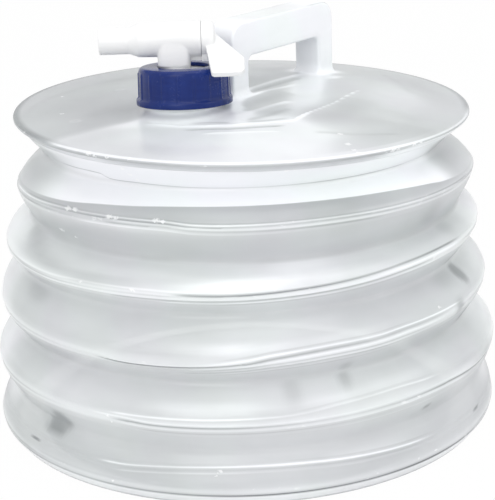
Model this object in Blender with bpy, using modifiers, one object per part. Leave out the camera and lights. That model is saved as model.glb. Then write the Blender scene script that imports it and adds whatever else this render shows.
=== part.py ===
# Collapsible water carrier: a pleated bottle with a moulded handle, and a tap held on by a screw cap.
# X runs right along the tap's barrel, Y to the back and Z up. The origin is on the floor,
# under the middle of the bottle. The bottle stands pulled open, and the tap is shut.
import bpy
import bmesh
from math import cos, hypot, pi, radians, sin, tan
from mathutils import Matrix, Vector

mm = 0.001
overrun = 2.0 * mm          # how far a cutter runs past what it cuts
seat_gap = 0.3 * mm         # clearance between pieces that rest on each other
weld_distance = 0.01 * mm

# Bottle walls. The shares go from the bottom ridge or fold to the top one.
bottom_ridge_radius = 140.4 * mm
top_ridge_radius = 124.0 * mm
bottom_ridge_height = 11.0 * mm
stack_height = 164.0 * mm   # from the bottom ridge to the top one
ridge_height_shares = (0, 0.217, 0.425, 0.617, 0.795, 1)
ridge_swell_shares = (1, 0.98, 0.71, 0.44, 0.11, 0)
deepest_fold = 16.0 * mm
fold_depth_shares = (0.49, 0.7, 0.67, 0.68, 1)
wall = 1.2 * mm
valley_rounding = 4.0 * mm
crease_height = 2.4 * mm    # the pinched bead along each ridge
crease_tip_height = 1.4 * mm
crease_reach = 1.1 * mm
ring_reach = 3.2 * mm       # how far a ridge ring runs down each of its two walls
bottle_steps = 40

# Base
base_edge_radius = 135.0 * mm
base_edge_rounding = 5.0 * mm
foot_width = 12.0 * mm      # the flat that the bottle stands on
base_dish = 3.5 * mm
base_dish_slope = 5.0 * mm
base_centre_rise = 1.0 * mm

# Top
crown_rise = 8.5 * mm       # the flat middle of the top, above the top ridge
crown_radius = 60.0 * mm
crown_rounding = 30.0 * mm

# Neck. It leans back, as the soft top lets it.
neck_x = -28.2 * mm
neck_y = -35.3 * mm
neck_lean = radians(4.0)
lip_height = 24.3 * mm      # the neck's lip above the top ridge
neck_radius = 20.3 * mm
neck_wall = 2.2 * mm
neck_edge = 0.6 * mm
neck_steps = 36

# Handle, a slab that stands in the mould's parting plane
handle_heading = radians(51.0)
handle_middle = 32.0 * mm   # from the bottle's axis to the middle of the grip
finger_gap_length = 64.0 * mm
leg_width = 14.5 * mm
handle_thickness = 16.0 * mm
handle_height = 48.5 * mm   # above the top ridge
grip_depth = 19.5 * mm
handle_outer_rounding = 10.0 * mm
handle_inner_rounding = 4.0 * mm
foot_flare = 4.5 * mm
foot_flare_height = 6.0 * mm
foot_sink = 12.0 * mm       # below the crown before the foot is trimmed to the top
handle_edge = 1.4 * mm

# Gasket and cap
gasket_thickness = 2.0 * mm
gasket_inner_radius = 15.0 * mm
gasket_outer_radius = 20.1 * mm
cap_height = 19.6 * mm
cap_top_wall = 2.0 * mm
cap_top_radius = 24.0 * mm
cap_skirt_radius = 24.3 * mm
cap_thread_room = 1.9 * mm  # between the neck and the skirt, where the threads run
cap_hole_radius = 13.6 * mm
cap_edge_rounding = 2.2 * mm
cap_bead_radius = 25.4 * mm
cap_bead_height = 3.0 * mm
cap_bead_slope = 0.8 * mm
cap_rib_count = 18
cap_rib_reach = 0.5 * mm
cap_rib_width = 1.1 * mm
cap_rib_root = 0.6 * mm     # how deep a rib sits in the skirt
cap_rib_top_gap = 0.8 * mm
cap_rib_turn = radians(4.0)
cap_steps = 36

# Tap body. Lengths along the barrel are measured from its lever end.
flange_radius = 19.8 * mm
flange_thickness = 2.0 * mm
barrel_rise = 21.0 * mm     # the barrel's axis above the neck's lip
barrel_end = 9.9 * mm       # the lever end, to the right of the neck's axis
barrel_length = 32.7 * mm
barrel_wide_radius = 9.5 * mm
barrel_thin_radius = 8.9 * mm
shoulder_length = 4.7 * mm
spout_length = 16.0 * mm
spout_radius = 7.1 * mm
spout_bore_radius = 5.3 * mm
plug_bore_radius = 6.9 * mm
plug_bore_depth = 27.0 * mm
stem_radius = 8.5 * mm
stem_offset = 4.6 * mm      # the stem stands to the spout's side of the neck's axis
stem_bore_radius = 5.5 * mm
lug_length = 7.0 * mm
lug_width = 4.0 * mm
lug_depth = 2.0 * mm        # below the barrel
lug_finger_length = 4.6 * mm
lug_finger_height = 1.6 * mm
barrel_steps = 28

# Plug and its seals
plug_clearance = 0.3 * mm
plug_port_radius = 3.5 * mm
plug_flow_radius = 3.8 * mm
plug_end_wall = 2.0 * mm
seal_thickness = 1.4 * mm
seal_groove_spare = 0.3 * mm
seal_spacing = 16.6 * mm
drive_width = 7.0 * mm
drive_length = 5.5 * mm

# Lever: a paddle on a round hub, hanging forward and down when the tap is shut
lever_rest_turn = radians(-60.0)
hub_radius = 9.2 * mm
hub_length = 8.0 * mm
hub_rounding = 2.4 * mm
paddle_thickness = 2.8 * mm
paddle_length = 31.6 * mm   # from the barrel's axis
paddle_width = 24.4 * mm    # from the barrel's end
paddle_flare_start = 7.6 * mm
paddle_flare_end = 19.5 * mm
paddle_slant = 5.4 * mm     # how far the inner edge leans away from the cap
paddle_corner = 3.6 * mm
paddle_small_corner = 1.6 * mm
paddle_edge = 0.5 * mm
nib_width = 3.0 * mm

# Sizes that follow from those above
top_ridge_height = bottom_ridge_height + stack_height
crown_height = top_ridge_height + crown_rise
lip_z = top_ridge_height + lip_height
bore_radius = neck_radius - neck_wall
gasket_low = seat_gap
flange_low = gasket_low + gasket_thickness + seat_gap
flange_high = flange_low + flange_thickness
cap_ceiling = flange_high + seat_gap
cap_top = cap_ceiling + cap_top_wall
cap_bottom = cap_top - cap_height
cap_inner_radius = neck_radius + cap_thread_room
barrel_total = barrel_length + shoulder_length + spout_length
plug_radius = plug_bore_radius - plug_clearance
stem_place = barrel_end + stem_offset     # along the barrel
fold_count = len(fold_depth_shares)
plastic_blue = (0.022, 0.036, 0.21)
plastic_white = (0.86, 0.87, 0.87)
plastic_clear = (0.72, 0.76, 0.78)
rubber_black = (0.02, 0.02, 0.02)


# Points and profiles

def ridge_point(index):
    radius = top_ridge_radius + (bottom_ridge_radius - top_ridge_radius) * ridge_swell_shares[index]
    return radius, bottom_ridge_height + stack_height * ridge_height_shares[index]


def valley_point(index):
    """The inside of the fold between ridge index and the next one up."""
    low_radius, low_height = ridge_point(index)
    high_radius, high_height = ridge_point(index + 1)
    radius = (low_radius + high_radius) / 2 - deepest_fold * fold_depth_shares[index]
    return radius, (low_height + high_height) / 2


def crease_root(index, side):
    """Where the wall above (side 1) or below (side -1) meets the ridge's bead."""
    radius, height = ridge_point(index)
    return radius - crease_reach, height + side * crease_height / 2


def crease_tip(index, side):
    radius, height = ridge_point(index)
    return radius, height + side * crease_tip_height / 2


def along(start, end, distance):
    length = hypot(end[0] - start[0], end[1] - start[1])
    share = distance / length
    return start[0] + (end[0] - start[0]) * share, start[1] + (end[1] - start[1]) * share


def inset(path, depth):
    """Moves a profile that runs down its outer side inwards by depth, with mitred corners."""
    normals = []
    for start, end in zip(path, path[1:]):
        length = hypot(end[0] - start[0], end[1] - start[1])
        normals.append(((end[1] - start[1]) / length, (start[0] - end[0]) / length))
    moved = [(path[0][0] + normals[0][0] * depth, path[0][1] + normals[0][1] * depth)]
    for point, before, after in zip(path[1:-1], normals, normals[1:]):
        scale = depth / (1 + before[0] * after[0] + before[1] * after[1])
        moved.append((point[0] + (before[0] + after[0]) * scale,
                      point[1] + (before[1] + after[1]) * scale))
    moved.append((path[-1][0] + normals[-1][0] * depth, path[-1][1] + normals[-1][1] * depth))
    return moved


def rounded(corners, steps):
    """A path through corners, each (x, y, radius), with an arc in place of each corner that has one."""
    path = []
    last = len(corners) - 1
    for index, (x, y, radius) in enumerate(corners):
        if radius == 0:
            path.append((x, y))
            continue
        corner = Vector((x, y))
        before = (Vector(corners[index - 1][:2]) - corner).normalized()
        after = (Vector(corners[0 if index == last else index + 1][:2]) - corner).normalized()
        half = before.angle(after) / 2
        middle = corner + (before + after).normalized() * (radius / sin(half))
        first = corner + before * (radius / tan(half)) - middle
        swing = first.angle_signed(corner + after * (radius / tan(half)) - middle)
        for step in range(steps + 1):
            turn = -swing * step / steps
            path.append((middle.x + first.x * cos(turn) - first.y * sin(turn),
                         middle.y + first.x * sin(turn) + first.y * cos(turn)))
    return path


def top_surface(raised=0.0):
    """The top's outer side, from the axis out to the top ridge's bead."""
    root = crease_root(fold_count, 1)
    corners = [(0, crown_height + raised, 0),
               (crown_radius, crown_height + raised, crown_rounding),
               (root[0], root[1] + raised, 0)]
    return rounded(corners, 3)


# Objects

def clear_scene():
    for existing in list(bpy.data.objects):
        bpy.data.objects.remove(existing)


def new_collection(name):
    collection = bpy.data.collections.new(name)
    bpy.context.scene.collection.children.link(collection)
    return collection


def plastic(name, colour, roughness):
    material = bpy.data.materials.new(name)
    material.use_nodes = True
    shader = material.node_tree.nodes["Principled BSDF"]
    shader.inputs["Base Color"].default_value = (*colour, 1)
    shader.inputs["Roughness"].default_value = roughness
    shader.inputs["Metallic"].default_value = 0
    return material


def place(item, collection, material=None, frame=None):
    for owner in list(item.users_collection):
        owner.objects.unlink(item)
    collection.objects.link(item)
    if material:
        item.data.materials.append(material)
    if frame:
        item.parent = frame
    if collection is cutters:
        item.hide_render = True
        item.display_type = 'WIRE'
    return item


def turned(name, path, closed, steps, collection, material=None, frame=None):
    """Turns a profile of (radius, height) points round the Z axis."""
    mesh = bpy.data.meshes.new(name)
    count = len(path)
    edges = [(index, index + 1) for index in range(count - 1)]
    if closed:
        edges.append((count - 1, 0))
    mesh.from_pydata([(radius, 0, height) for radius, height in path], edges, [])
    item = place(bpy.data.objects.new(name, mesh), collection, material, frame)
    screw = item.modifiers.new("Turn", 'SCREW')
    screw.axis = 'Z'
    screw.angle = 2 * pi
    screw.steps = steps
    screw.render_steps = steps
    screw.use_merge_vertices = True
    screw.merge_threshold = weld_distance
    screw.use_smooth_shade = True
    return item


def cylinder(name, radius, low, high, steps, collection, material=None, frame=None, x=0.0, y=0.0):
    bpy.ops.mesh.primitive_cylinder_add(vertices=steps, radius=radius, depth=high - low)
    item = place(bpy.context.object, collection, material, frame)
    item.name = name
    item.location = (x, y, (low + high) / 2)
    return item


def block(name, low, high, collection, frame=None):
    bpy.ops.mesh.primitive_cube_add(size=1)
    item = place(bpy.context.object, collection, None, frame)
    item.name = name
    item.data.transform(Matrix.Diagonal([top - bottom for bottom, top in zip(low, high)]).to_4x4())
    item.location = [(bottom + top) / 2 for bottom, top in zip(low, high)]
    return item


def combine(item, tool, operation):
    step = item.modifiers.new(operation.title(), 'BOOLEAN')
    step.operation = operation
    step.solver = 'EXACT'
    step.object = tool
    return item


def empty(name, location, parent=None):
    frame = bpy.data.objects.new(name, None)
    parts.objects.link(frame)
    frame.location = location
    frame.parent = parent
    return frame


def slab(name, corners, thickness, collection, frame, rotation):
    """A flat outline of (x, y, radius) corners, extruded both ways from its plane."""
    curve = bpy.data.curves.new(name, 'CURVE')
    curve.dimensions = '2D'
    curve.fill_mode = 'BOTH'
    curve.extrude = thickness / 2
    outline = rounded(corners, 4)
    spline = curve.splines.new('POLY')
    spline.points.add(len(outline) - 1)
    for point, (x, y) in zip(spline.points, outline):
        point.co = (x, y, 0, 1)
    spline.use_cyclic_u = True
    drawn = place(bpy.data.objects.new(name + "_outline", curve), collection, None, frame)
    drawn.rotation_euler = rotation
    bpy.context.view_layer.update()
    mesh = bpy.data.meshes.new_from_object(drawn.evaluated_get(bpy.context.evaluated_depsgraph_get()))
    bpy.data.objects.remove(drawn)
    form = bmesh.new()
    form.from_mesh(mesh)
    bmesh.ops.remove_doubles(form, verts=form.verts, dist=weld_distance)
    form.to_mesh(mesh)
    form.free()
    item = place(bpy.data.objects.new(name, mesh), collection, None, frame)
    item.rotation_euler = rotation
    return item


def soften(item, width, angle):
    bevel = item.modifiers.new("Edges", 'BEVEL')
    bevel.width = width
    bevel.segments = 1
    bevel.limit_method = 'ANGLE'
    bevel.angle_limit = angle
    return item


# Bottle

def ridge_ring(index, name):
    """One ridge: its bead, and a short run of the wall on each side."""
    upper = along(crease_root(index, 1), valley_point(index), ring_reach)
    lower = along(crease_root(index, -1), valley_point(index - 1), ring_reach)
    outer = [upper, crease_root(index, 1), crease_tip(index, 1),
             crease_tip(index, -1), crease_root(index, -1), lower]
    inner = inset([upper, crease_root(index, 1), crease_root(index, -1), lower], wall)
    return turned(name, outer + inner[::-1], True, bottle_steps, parts, clear_plastic)


def fold_wall(index, name):
    """The two walls of a fold, between the rings of ridge index and the next one up."""
    valley = valley_point(index)
    start = along(crease_root(index + 1, -1), valley, ring_reach + seat_gap)
    end = along(crease_root(index, 1), valley, ring_reach + seat_gap)
    outer = rounded([(*start, 0), (*valley, valley_rounding), (*end, 0)], 2)
    return turned(name, outer + inset(outer, wall)[::-1], True, bottle_steps, parts, clear_plastic)


def bottle_base():
    """The lowest ridge, the wall under it, the standing ring and the dished floor."""
    upper = along(crease_root(0, 1), valley_point(0), ring_reach)
    foot_inner = base_edge_radius - base_edge_rounding - foot_width
    below = rounded([(*crease_root(0, -1), 0),
                     (base_edge_radius, 0, base_edge_rounding),
                     (foot_inner, 0, 0),
                     (foot_inner - base_dish_slope, base_dish, 0),
                     (0, base_dish + base_centre_rise, 0)], 3)
    outer = [upper, crease_root(0, 1), crease_tip(0, 1), crease_tip(0, -1)] + below
    inner = inset([upper, crease_root(0, 1)] + below, wall)
    inner[-1] = (0, inner[-1][1])
    return turned("bottle_base", inner[::-1] + outer, False, bottle_steps, parts, clear_plastic)


def top_form(name, raised):
    """A solid that fills the bottle up to the top's outer side, raised by a distance."""
    surface = top_surface(raised)
    path = surface + [(base_edge_radius, surface[-1][1]), (base_edge_radius, 0), (0, 0)]
    return turned(name, path, False, bottle_steps, cutters)


def bottle_top(neck_frame):
    """The top ridge, the low crown and the neck, open right through."""
    lower = along(crease_root(fold_count, -1), valley_point(fold_count - 1), ring_reach)
    surface = top_surface()
    outer = surface + [crease_tip(fold_count, 1), crease_tip(fold_count, -1),
                       crease_root(fold_count, -1), lower]
    inner = inset(surface + [crease_root(fold_count, -1), lower], wall)
    inner[0] = (0, inner[0][1])
    top = turned("bottle_top", outer + inner[::-1], False, bottle_steps, parts, clear_plastic)

    neck_foot = -(lip_height - crown_rise) - wall - overrun
    path = [(0, 0), (neck_radius - neck_edge, 0), (neck_radius, -neck_edge),
            (neck_radius, neck_foot), (0, neck_foot)]
    neck = turned("neck_form", path, False, neck_steps, cutters, frame=neck_frame)
    combine(neck, top_form("neck_foot_cutter", -wall / 2), 'DIFFERENCE')
    bore = cylinder("neck_bore_cutter", bore_radius, neck_foot - wall - overrun, overrun,
                    neck_steps, cutters, frame=neck_frame)
    combine(top, neck, 'UNION')
    combine(top, bore, 'DIFFERENCE')
    return top


def handle():
    """A flat loop whose two feet flare out and follow the crown."""
    frame = empty("handle_frame", (0, 0, top_ridge_height))
    frame.rotation_euler = (0, 0, handle_heading)
    inner_start = handle_middle - finger_gap_length / 2
    inner_end = handle_middle + finger_gap_length / 2
    start = inner_start - leg_width
    end = inner_end + leg_width
    foot = crown_rise - foot_sink
    ankle = crown_rise + foot_flare_height
    grip = handle_height - grip_depth
    corners = [(start - foot_flare, foot, 0), (start - foot_flare, crown_rise, 0),
               (start, ankle, foot_flare), (start, handle_height, handle_outer_rounding),
               (end, handle_height, handle_outer_rounding), (end, ankle, foot_flare),
               (end + foot_flare, crown_rise, 0), (end + foot_flare, foot, 0),
               (inner_end - foot_flare, foot, 0), (inner_end - foot_flare, crown_rise, 0),
               (inner_end, ankle, foot_flare), (inner_end, grip, handle_inner_rounding),
               (inner_start, grip, handle_inner_rounding), (inner_start, ankle, foot_flare),
               (inner_start + foot_flare, crown_rise, 0), (inner_start + foot_flare, foot, 0)]
    loop = slab("handle", corners, handle_thickness, parts, frame, (radians(90), 0, 0))
    loop.data.materials.append(clear_plastic)
    soften(loop, handle_edge, radians(50))
    return combine(loop, top_form("handle_foot_cutter", seat_gap), 'DIFFERENCE')


# Cap and gasket

def screw_cap(frame):
    bead_top = cap_bottom + cap_bead_height
    edge = rounded([(cap_hole_radius, cap_top, 0), (cap_top_radius, cap_top, cap_edge_rounding),
                    (cap_skirt_radius, bead_top + cap_bead_slope, 0)], 3)
    path = edge + [(cap_bead_radius, bead_top), (cap_bead_radius, cap_bottom),
                   (cap_inner_radius, cap_bottom), (cap_inner_radius, cap_ceiling),
                   (cap_hole_radius, cap_ceiling)]
    cap = turned("screw_cap", path, True, cap_steps, parts, blue_plastic, frame)
    return combine(cap, cap_ribs(frame, bead_top - cap_bead_slope), 'UNION')


def cap_ribs(frame, low):
    """The grip ribs, upright round the skirt, as one tool."""
    high = cap_top - cap_edge_rounding - cap_rib_top_gap
    form = bmesh.new()
    for index in range(cap_rib_count):
        turn = cap_rib_turn + 2 * pi * index / cap_rib_count
        size = Matrix.Diagonal((cap_rib_root + cap_rib_reach, cap_rib_width, high - low)).to_4x4()
        middle = cap_skirt_radius + (cap_rib_reach - cap_rib_root) / 2
        move = Matrix.Translation((middle, 0, (low + high) / 2))
        bmesh.ops.create_cube(form, size=1, matrix=Matrix.Rotation(turn, 4, 'Z') @ move @ size)
    mesh = bpy.data.meshes.new("cap_ribs")
    form.to_mesh(mesh)
    form.free()
    return place(bpy.data.objects.new("cap_ribs", mesh), cutters, None, frame)


def cap_gasket(frame):
    path = [(gasket_inner_radius, gasket_low + gasket_thickness),
            (gasket_outer_radius, gasket_low + gasket_thickness),
            (gasket_outer_radius, gasket_low), (gasket_inner_radius, gasket_low)]
    return turned("cap_gasket", path, True, neck_steps, parts, gasket_rubber, frame)


# Tap. Its barrel's frame lies with Z along the barrel towards the spout, from the lever end.

def tap_body(frame, barrel_frame):
    shoulder = barrel_length + shoulder_length
    path = [(0, barrel_total), (spout_radius, barrel_total), (spout_radius, shoulder),
            (barrel_thin_radius, barrel_length), (barrel_wide_radius, 0), (0, 0)]
    body = turned("tap_body", path, False, barrel_steps, parts, white_plastic, barrel_frame)
    flange = cylinder("flange_form", flange_radius, flange_low, flange_high,
                      neck_steps, cutters, frame=frame)
    stem = cylinder("stem_form", stem_radius, (flange_low + flange_high) / 2, barrel_rise,
                    barrel_steps, cutters, frame=frame, x=-stem_offset)
    combine(body, stem, 'UNION')
    combine(body, flange, 'UNION')
    combine(body, stop_lug(frame), 'UNION')
    combine(body, lug_finger(frame), 'UNION')

    bore_path = [(0, barrel_total + overrun), (spout_bore_radius, barrel_total + overrun),
                 (spout_bore_radius, plug_bore_depth), (plug_bore_radius, plug_bore_depth),
                 (plug_bore_radius, -overrun), (0, -overrun)]
    bore = turned("barrel_bore_cutter", bore_path, False, barrel_steps, cutters, frame=barrel_frame)
    combine(body, bore, 'DIFFERENCE')
    stem_bore = cylinder("stem_bore_cutter", stem_bore_radius, flange_low - overrun, barrel_rise,
                         barrel_steps, cutters, frame=frame, x=-stem_offset)
    return combine(body, stem_bore, 'DIFFERENCE')


def stop_lug(frame):
    """A block under the barrel's lever end."""
    low = barrel_rise - barrel_wide_radius - lug_depth
    return block("stop_lug", (barrel_end - seat_gap - lug_length, -lug_width / 2, low),
                 (barrel_end - seat_gap, lug_width / 2, low + 2 * lug_depth), cutters, frame)


def lug_finger(frame):
    """It runs on from the lug under the lever's hub, where the hub's nib meets it."""
    low = barrel_rise - barrel_wide_radius - lug_depth
    return block("lug_finger", (barrel_end - lug_length / 2, -lug_width / 2, low),
                 (barrel_end + lug_finger_length, lug_width / 2, low + lug_finger_height),
                 cutters, frame)


def tap_plug(barrel_frame, lever_frame):
    """The hollow core: open to the spout, shut at the lever, with a port that faces back when shut."""
    inner_end = plug_bore_depth - plug_clearance
    groove_floor = plug_radius - seal_thickness - seal_groove_spare
    path = [(0, inner_end), (plug_radius, inner_end)]
    for centre in reversed(seal_places()):
        half = (seal_thickness + 2 * seal_groove_spare) / 2
        path += [(plug_radius, centre + half), (groove_floor, centre + half),
                 (groove_floor, centre - half), (plug_radius, centre - half)]
    path += [(plug_radius, plug_clearance), (0, plug_clearance)]
    plug = turned("tap_plug", path, False, barrel_steps, parts, white_plastic, barrel_frame)
    drive = block("drive_form", (-plug_end_wall, -drive_width / 2, -drive_width / 2),
                  (drive_length, drive_width / 2, drive_width / 2), cutters, lever_frame)
    combine(plug, drive, 'UNION')
    channel = cylinder("channel_cutter", plug_flow_radius, stem_place - plug_port_radius,
                       inner_end + overrun, barrel_steps, cutters, frame=barrel_frame)
    combine(plug, channel, 'DIFFERENCE')
    port = cylinder("port_cutter", plug_port_radius, 0, plug_radius + overrun,
                    barrel_steps, cutters, frame=barrel_frame)
    port.rotation_euler = (radians(-90), 0, 0)
    port.location = (0, (plug_radius + overrun) / 2, stem_place)
    return combine(plug, port, 'DIFFERENCE')


def seal_places():
    """The middles of the two grooves along the barrel, evenly each side of the port."""
    return [stem_place + side * seal_spacing / 2 for side in (-1, 1)]


def plug_seal(name, centre, barrel_frame):
    ring_radius = plug_radius - seal_thickness / 2
    bpy.ops.mesh.primitive_torus_add(major_segments=24, minor_segments=6, major_radius=ring_radius,
                                     minor_radius=seal_thickness / 2)
    seal = place(bpy.context.object, parts, gasket_rubber, barrel_frame)
    seal.name = name
    seal.location = (0, 0, centre)
    seal.data.shade_smooth()
    return seal


def tap_lever(lever_frame):
    """A round hub on the plug's square end, with a flat paddle. X points away from the barrel
    along its axis, and the paddle hangs along -Z."""
    hub_path = rounded([(0, hub_length, 0), (hub_radius, hub_length, hub_rounding),
                        (hub_radius, seat_gap, 0), (0, seat_gap, 0)], 3)
    hub = turned("tap_lever", hub_path, False, barrel_steps, parts, white_plastic, lever_frame)
    hub.rotation_euler = (0, radians(90), 0)
    corners = [(seat_gap + paddle_edge, hub_radius - hub_rounding, 0),
               (paddle_flare_start, hub_radius - hub_rounding, 0),
               (paddle_width, -paddle_flare_end, paddle_corner),
               (paddle_width, -paddle_length, paddle_corner),
               (paddle_slant + paddle_small_corner, -paddle_length, paddle_small_corner)]
    paddle = slab("paddle_form", corners, paddle_thickness, cutters, lever_frame, (radians(90), 0, 0))
    soften(paddle, paddle_edge, radians(50))
    combine(hub, paddle, 'UNION')
    combine(hub, hub_nib(lever_frame), 'UNION')
    half = drive_width / 2 + seat_gap
    socket = block("socket_cutter", (-overrun, -half, -half), (drive_length + seat_gap, half, half),
                   cutters, lever_frame)
    return combine(hub, socket, 'DIFFERENCE')


def hub_nib(lever_frame):
    """Stands out from the hub just in front of the body's finger, and stops the lever there."""
    nib_frame = empty("nib_frame", (0, 0, 0), lever_frame)
    nib_frame.rotation_euler = (-lever_rest_turn, 0, 0)
    front = -lug_width / 2 - seat_gap
    return block("hub_nib", (seat_gap, front - nib_width, -barrel_wide_radius - lug_depth),
                 (lug_finger_length, front, -hub_radius / 2), cutters, nib_frame)


def build():
    neck_frame = empty("neck_frame", (neck_x, neck_y, lip_z))
    neck_frame.rotation_euler = (-neck_lean, 0, 0)
    barrel_frame = empty("barrel_frame", (barrel_end, 0, barrel_rise), neck_frame)
    barrel_frame.rotation_euler = (0, radians(-90), 0)
    lever_frame = empty("lever_frame", (barrel_end, 0, barrel_rise), neck_frame)
    lever_frame.rotation_euler = (lever_rest_turn, 0, 0)

    bottle_base()
    for index in range(fold_count):
        fold_wall(index, f"fold_wall_{index + 1}")
    for index in range(1, fold_count):
        ridge_ring(index, f"ridge_ring_{index}")
    bottle_top(neck_frame)
    handle()
    screw_cap(neck_frame)
    cap_gasket(neck_frame)
    tap_body(neck_frame, barrel_frame)
    tap_plug(barrel_frame, lever_frame)
    for name, centre in zip(("plug_seal_outer", "plug_seal_inner"), seal_places()):
        plug_seal(name, centre, barrel_frame)
    tap_lever(lever_frame)


clear_scene()
parts = new_collection("water_carrier")
cutters = new_collection("cutters")
clear_plastic = plastic("clear_soft_plastic", plastic_clear, 0.25)
blue_plastic = plastic("blue_cap_plastic", plastic_blue, 0.25)
white_plastic = plastic("white_tap_plastic", plastic_white, 0.4)
gasket_rubber = plastic("gasket_rubber", rubber_black, 0.8)
build()
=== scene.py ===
from math import ceil, copysign, cos, degrees, exp, hypot, log1p, pi, radians, sin, sqrt, tan
import bpy
import bmesh
from mathutils import Matrix, Vector, noise
from mathutils.geometry import delaunay_2d_cdt


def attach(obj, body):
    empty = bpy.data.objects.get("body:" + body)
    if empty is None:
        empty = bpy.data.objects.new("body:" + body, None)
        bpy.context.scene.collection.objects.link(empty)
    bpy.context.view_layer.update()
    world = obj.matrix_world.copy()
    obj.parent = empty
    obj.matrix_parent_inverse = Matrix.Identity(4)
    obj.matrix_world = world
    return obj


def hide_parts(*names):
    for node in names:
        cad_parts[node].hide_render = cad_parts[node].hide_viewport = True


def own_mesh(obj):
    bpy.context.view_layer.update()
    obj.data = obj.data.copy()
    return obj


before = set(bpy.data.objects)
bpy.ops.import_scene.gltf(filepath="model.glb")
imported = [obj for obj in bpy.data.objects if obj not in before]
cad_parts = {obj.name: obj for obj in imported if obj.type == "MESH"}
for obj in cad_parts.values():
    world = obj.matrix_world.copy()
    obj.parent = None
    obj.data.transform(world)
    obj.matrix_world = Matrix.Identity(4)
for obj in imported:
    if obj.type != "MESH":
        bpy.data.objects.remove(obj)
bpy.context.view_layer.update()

mm = 0.001
scene = bpy.context.scene


# small helpers

def smooth(low, high, x):
    t = min(max((x - low) / (high - low), 0), 1)
    return t * t * (3 - 2 * t)


def peak(x, middle, width):   # a soft hump of height 1
    return exp(-((x - middle) / width) ** 2)


def between(a, b, t):
    return a + (b - a) * t


def stops(table, x):          # a smooth curve through a table of (place, value)
    x = min(max(x, table[0][0]), table[-1][0])
    high = next(k for k in range(1, len(table)) if x <= table[k][0])
    before, low = table[max(high - 2, 0)], table[high - 1]
    after = table[min(high + 1, len(table) - 1)]
    (x0, y0), (x1, y1) = low, table[high]
    span, t = x1 - x0, (x - x0) / (x1 - x0)
    rise0 = (y1 - before[1]) / (x1 - before[0]) * span
    rise1 = (after[1] - y0) / (after[0] - x0) * span
    return (y0 * (2 * t - 3) * t * t + y0 + rise0 * t * (1 - t) ** 2
            + y1 * (3 - 2 * t) * t * t + rise1 * t * t * (t - 1))


def softRamp(x):              # 0 well below zero, x well above it
    return x + log1p(exp(-x)) if x > 0 else log1p(exp(x))


def addPiece(name, form, material, smoothShade=True):
    mesh = bpy.data.meshes.new(name)
    bmesh.ops.recalc_face_normals(form, faces=form.faces)
    form.to_mesh(mesh)
    form.free()
    piece = bpy.data.objects.new(name, mesh)
    scene.collection.objects.link(piece)
    mesh.materials.append(material)
    if smoothShade:
        mesh.shade_smooth()
    return piece


def bridge(form, lower, upper):      # faces between two closed rows of the same length
    for index in range(len(lower)):
        follow = (index + 1) % len(lower)
        corners = [lower[index], lower[follow], upper[follow], upper[index]]
        corners = [c for k, c in enumerate(corners) if c not in corners[:k]]
        if len(corners) > 2:
            form.faces.new(corners)


def prism(form, rows, place):        # rows of points bridged to each other, with a face at both ends
    made = [[form.verts.new(place @ (Vector(point) * mm)) for point in row] for row in rows]
    for lower, upper in zip(made, made[1:]):
        bridge(form, lower, upper)
    form.faces.new(made[0])
    form.faces.new(made[-1])


# shader maths

class Sock:
    def __init__(self, graph, socket):
        self.graph, self.socket = graph, socket

    def does(self, operation, *values, clamp=False):
        return self.graph.add("ShaderNodeMath", {"operation": operation, "use_clamp": clamp}, values)

    def __add__(self, other):
        return self.does("ADD", self, other)

    def __radd__(self, other):
        return self.does("ADD", other, self)

    def __sub__(self, other):
        return self.does("SUBTRACT", self, other)

    def __rsub__(self, other):
        return self.does("SUBTRACT", other, self)

    def __mul__(self, other):
        return self.does("MULTIPLY", self, other)

    def __rmul__(self, other):
        return self.does("MULTIPLY", other, self)

    def clamped(self):
        return self.does("ADD", self, 0, clamp=True)

    def ramp(self, low, high):       # 0 below low, 1 above high, smooth between
        return self.graph.add("ShaderNodeMapRange", {"interpolation_type": "SMOOTHSTEP"},
                              {"Value": self, "From Min": low, "From Max": high})


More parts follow.
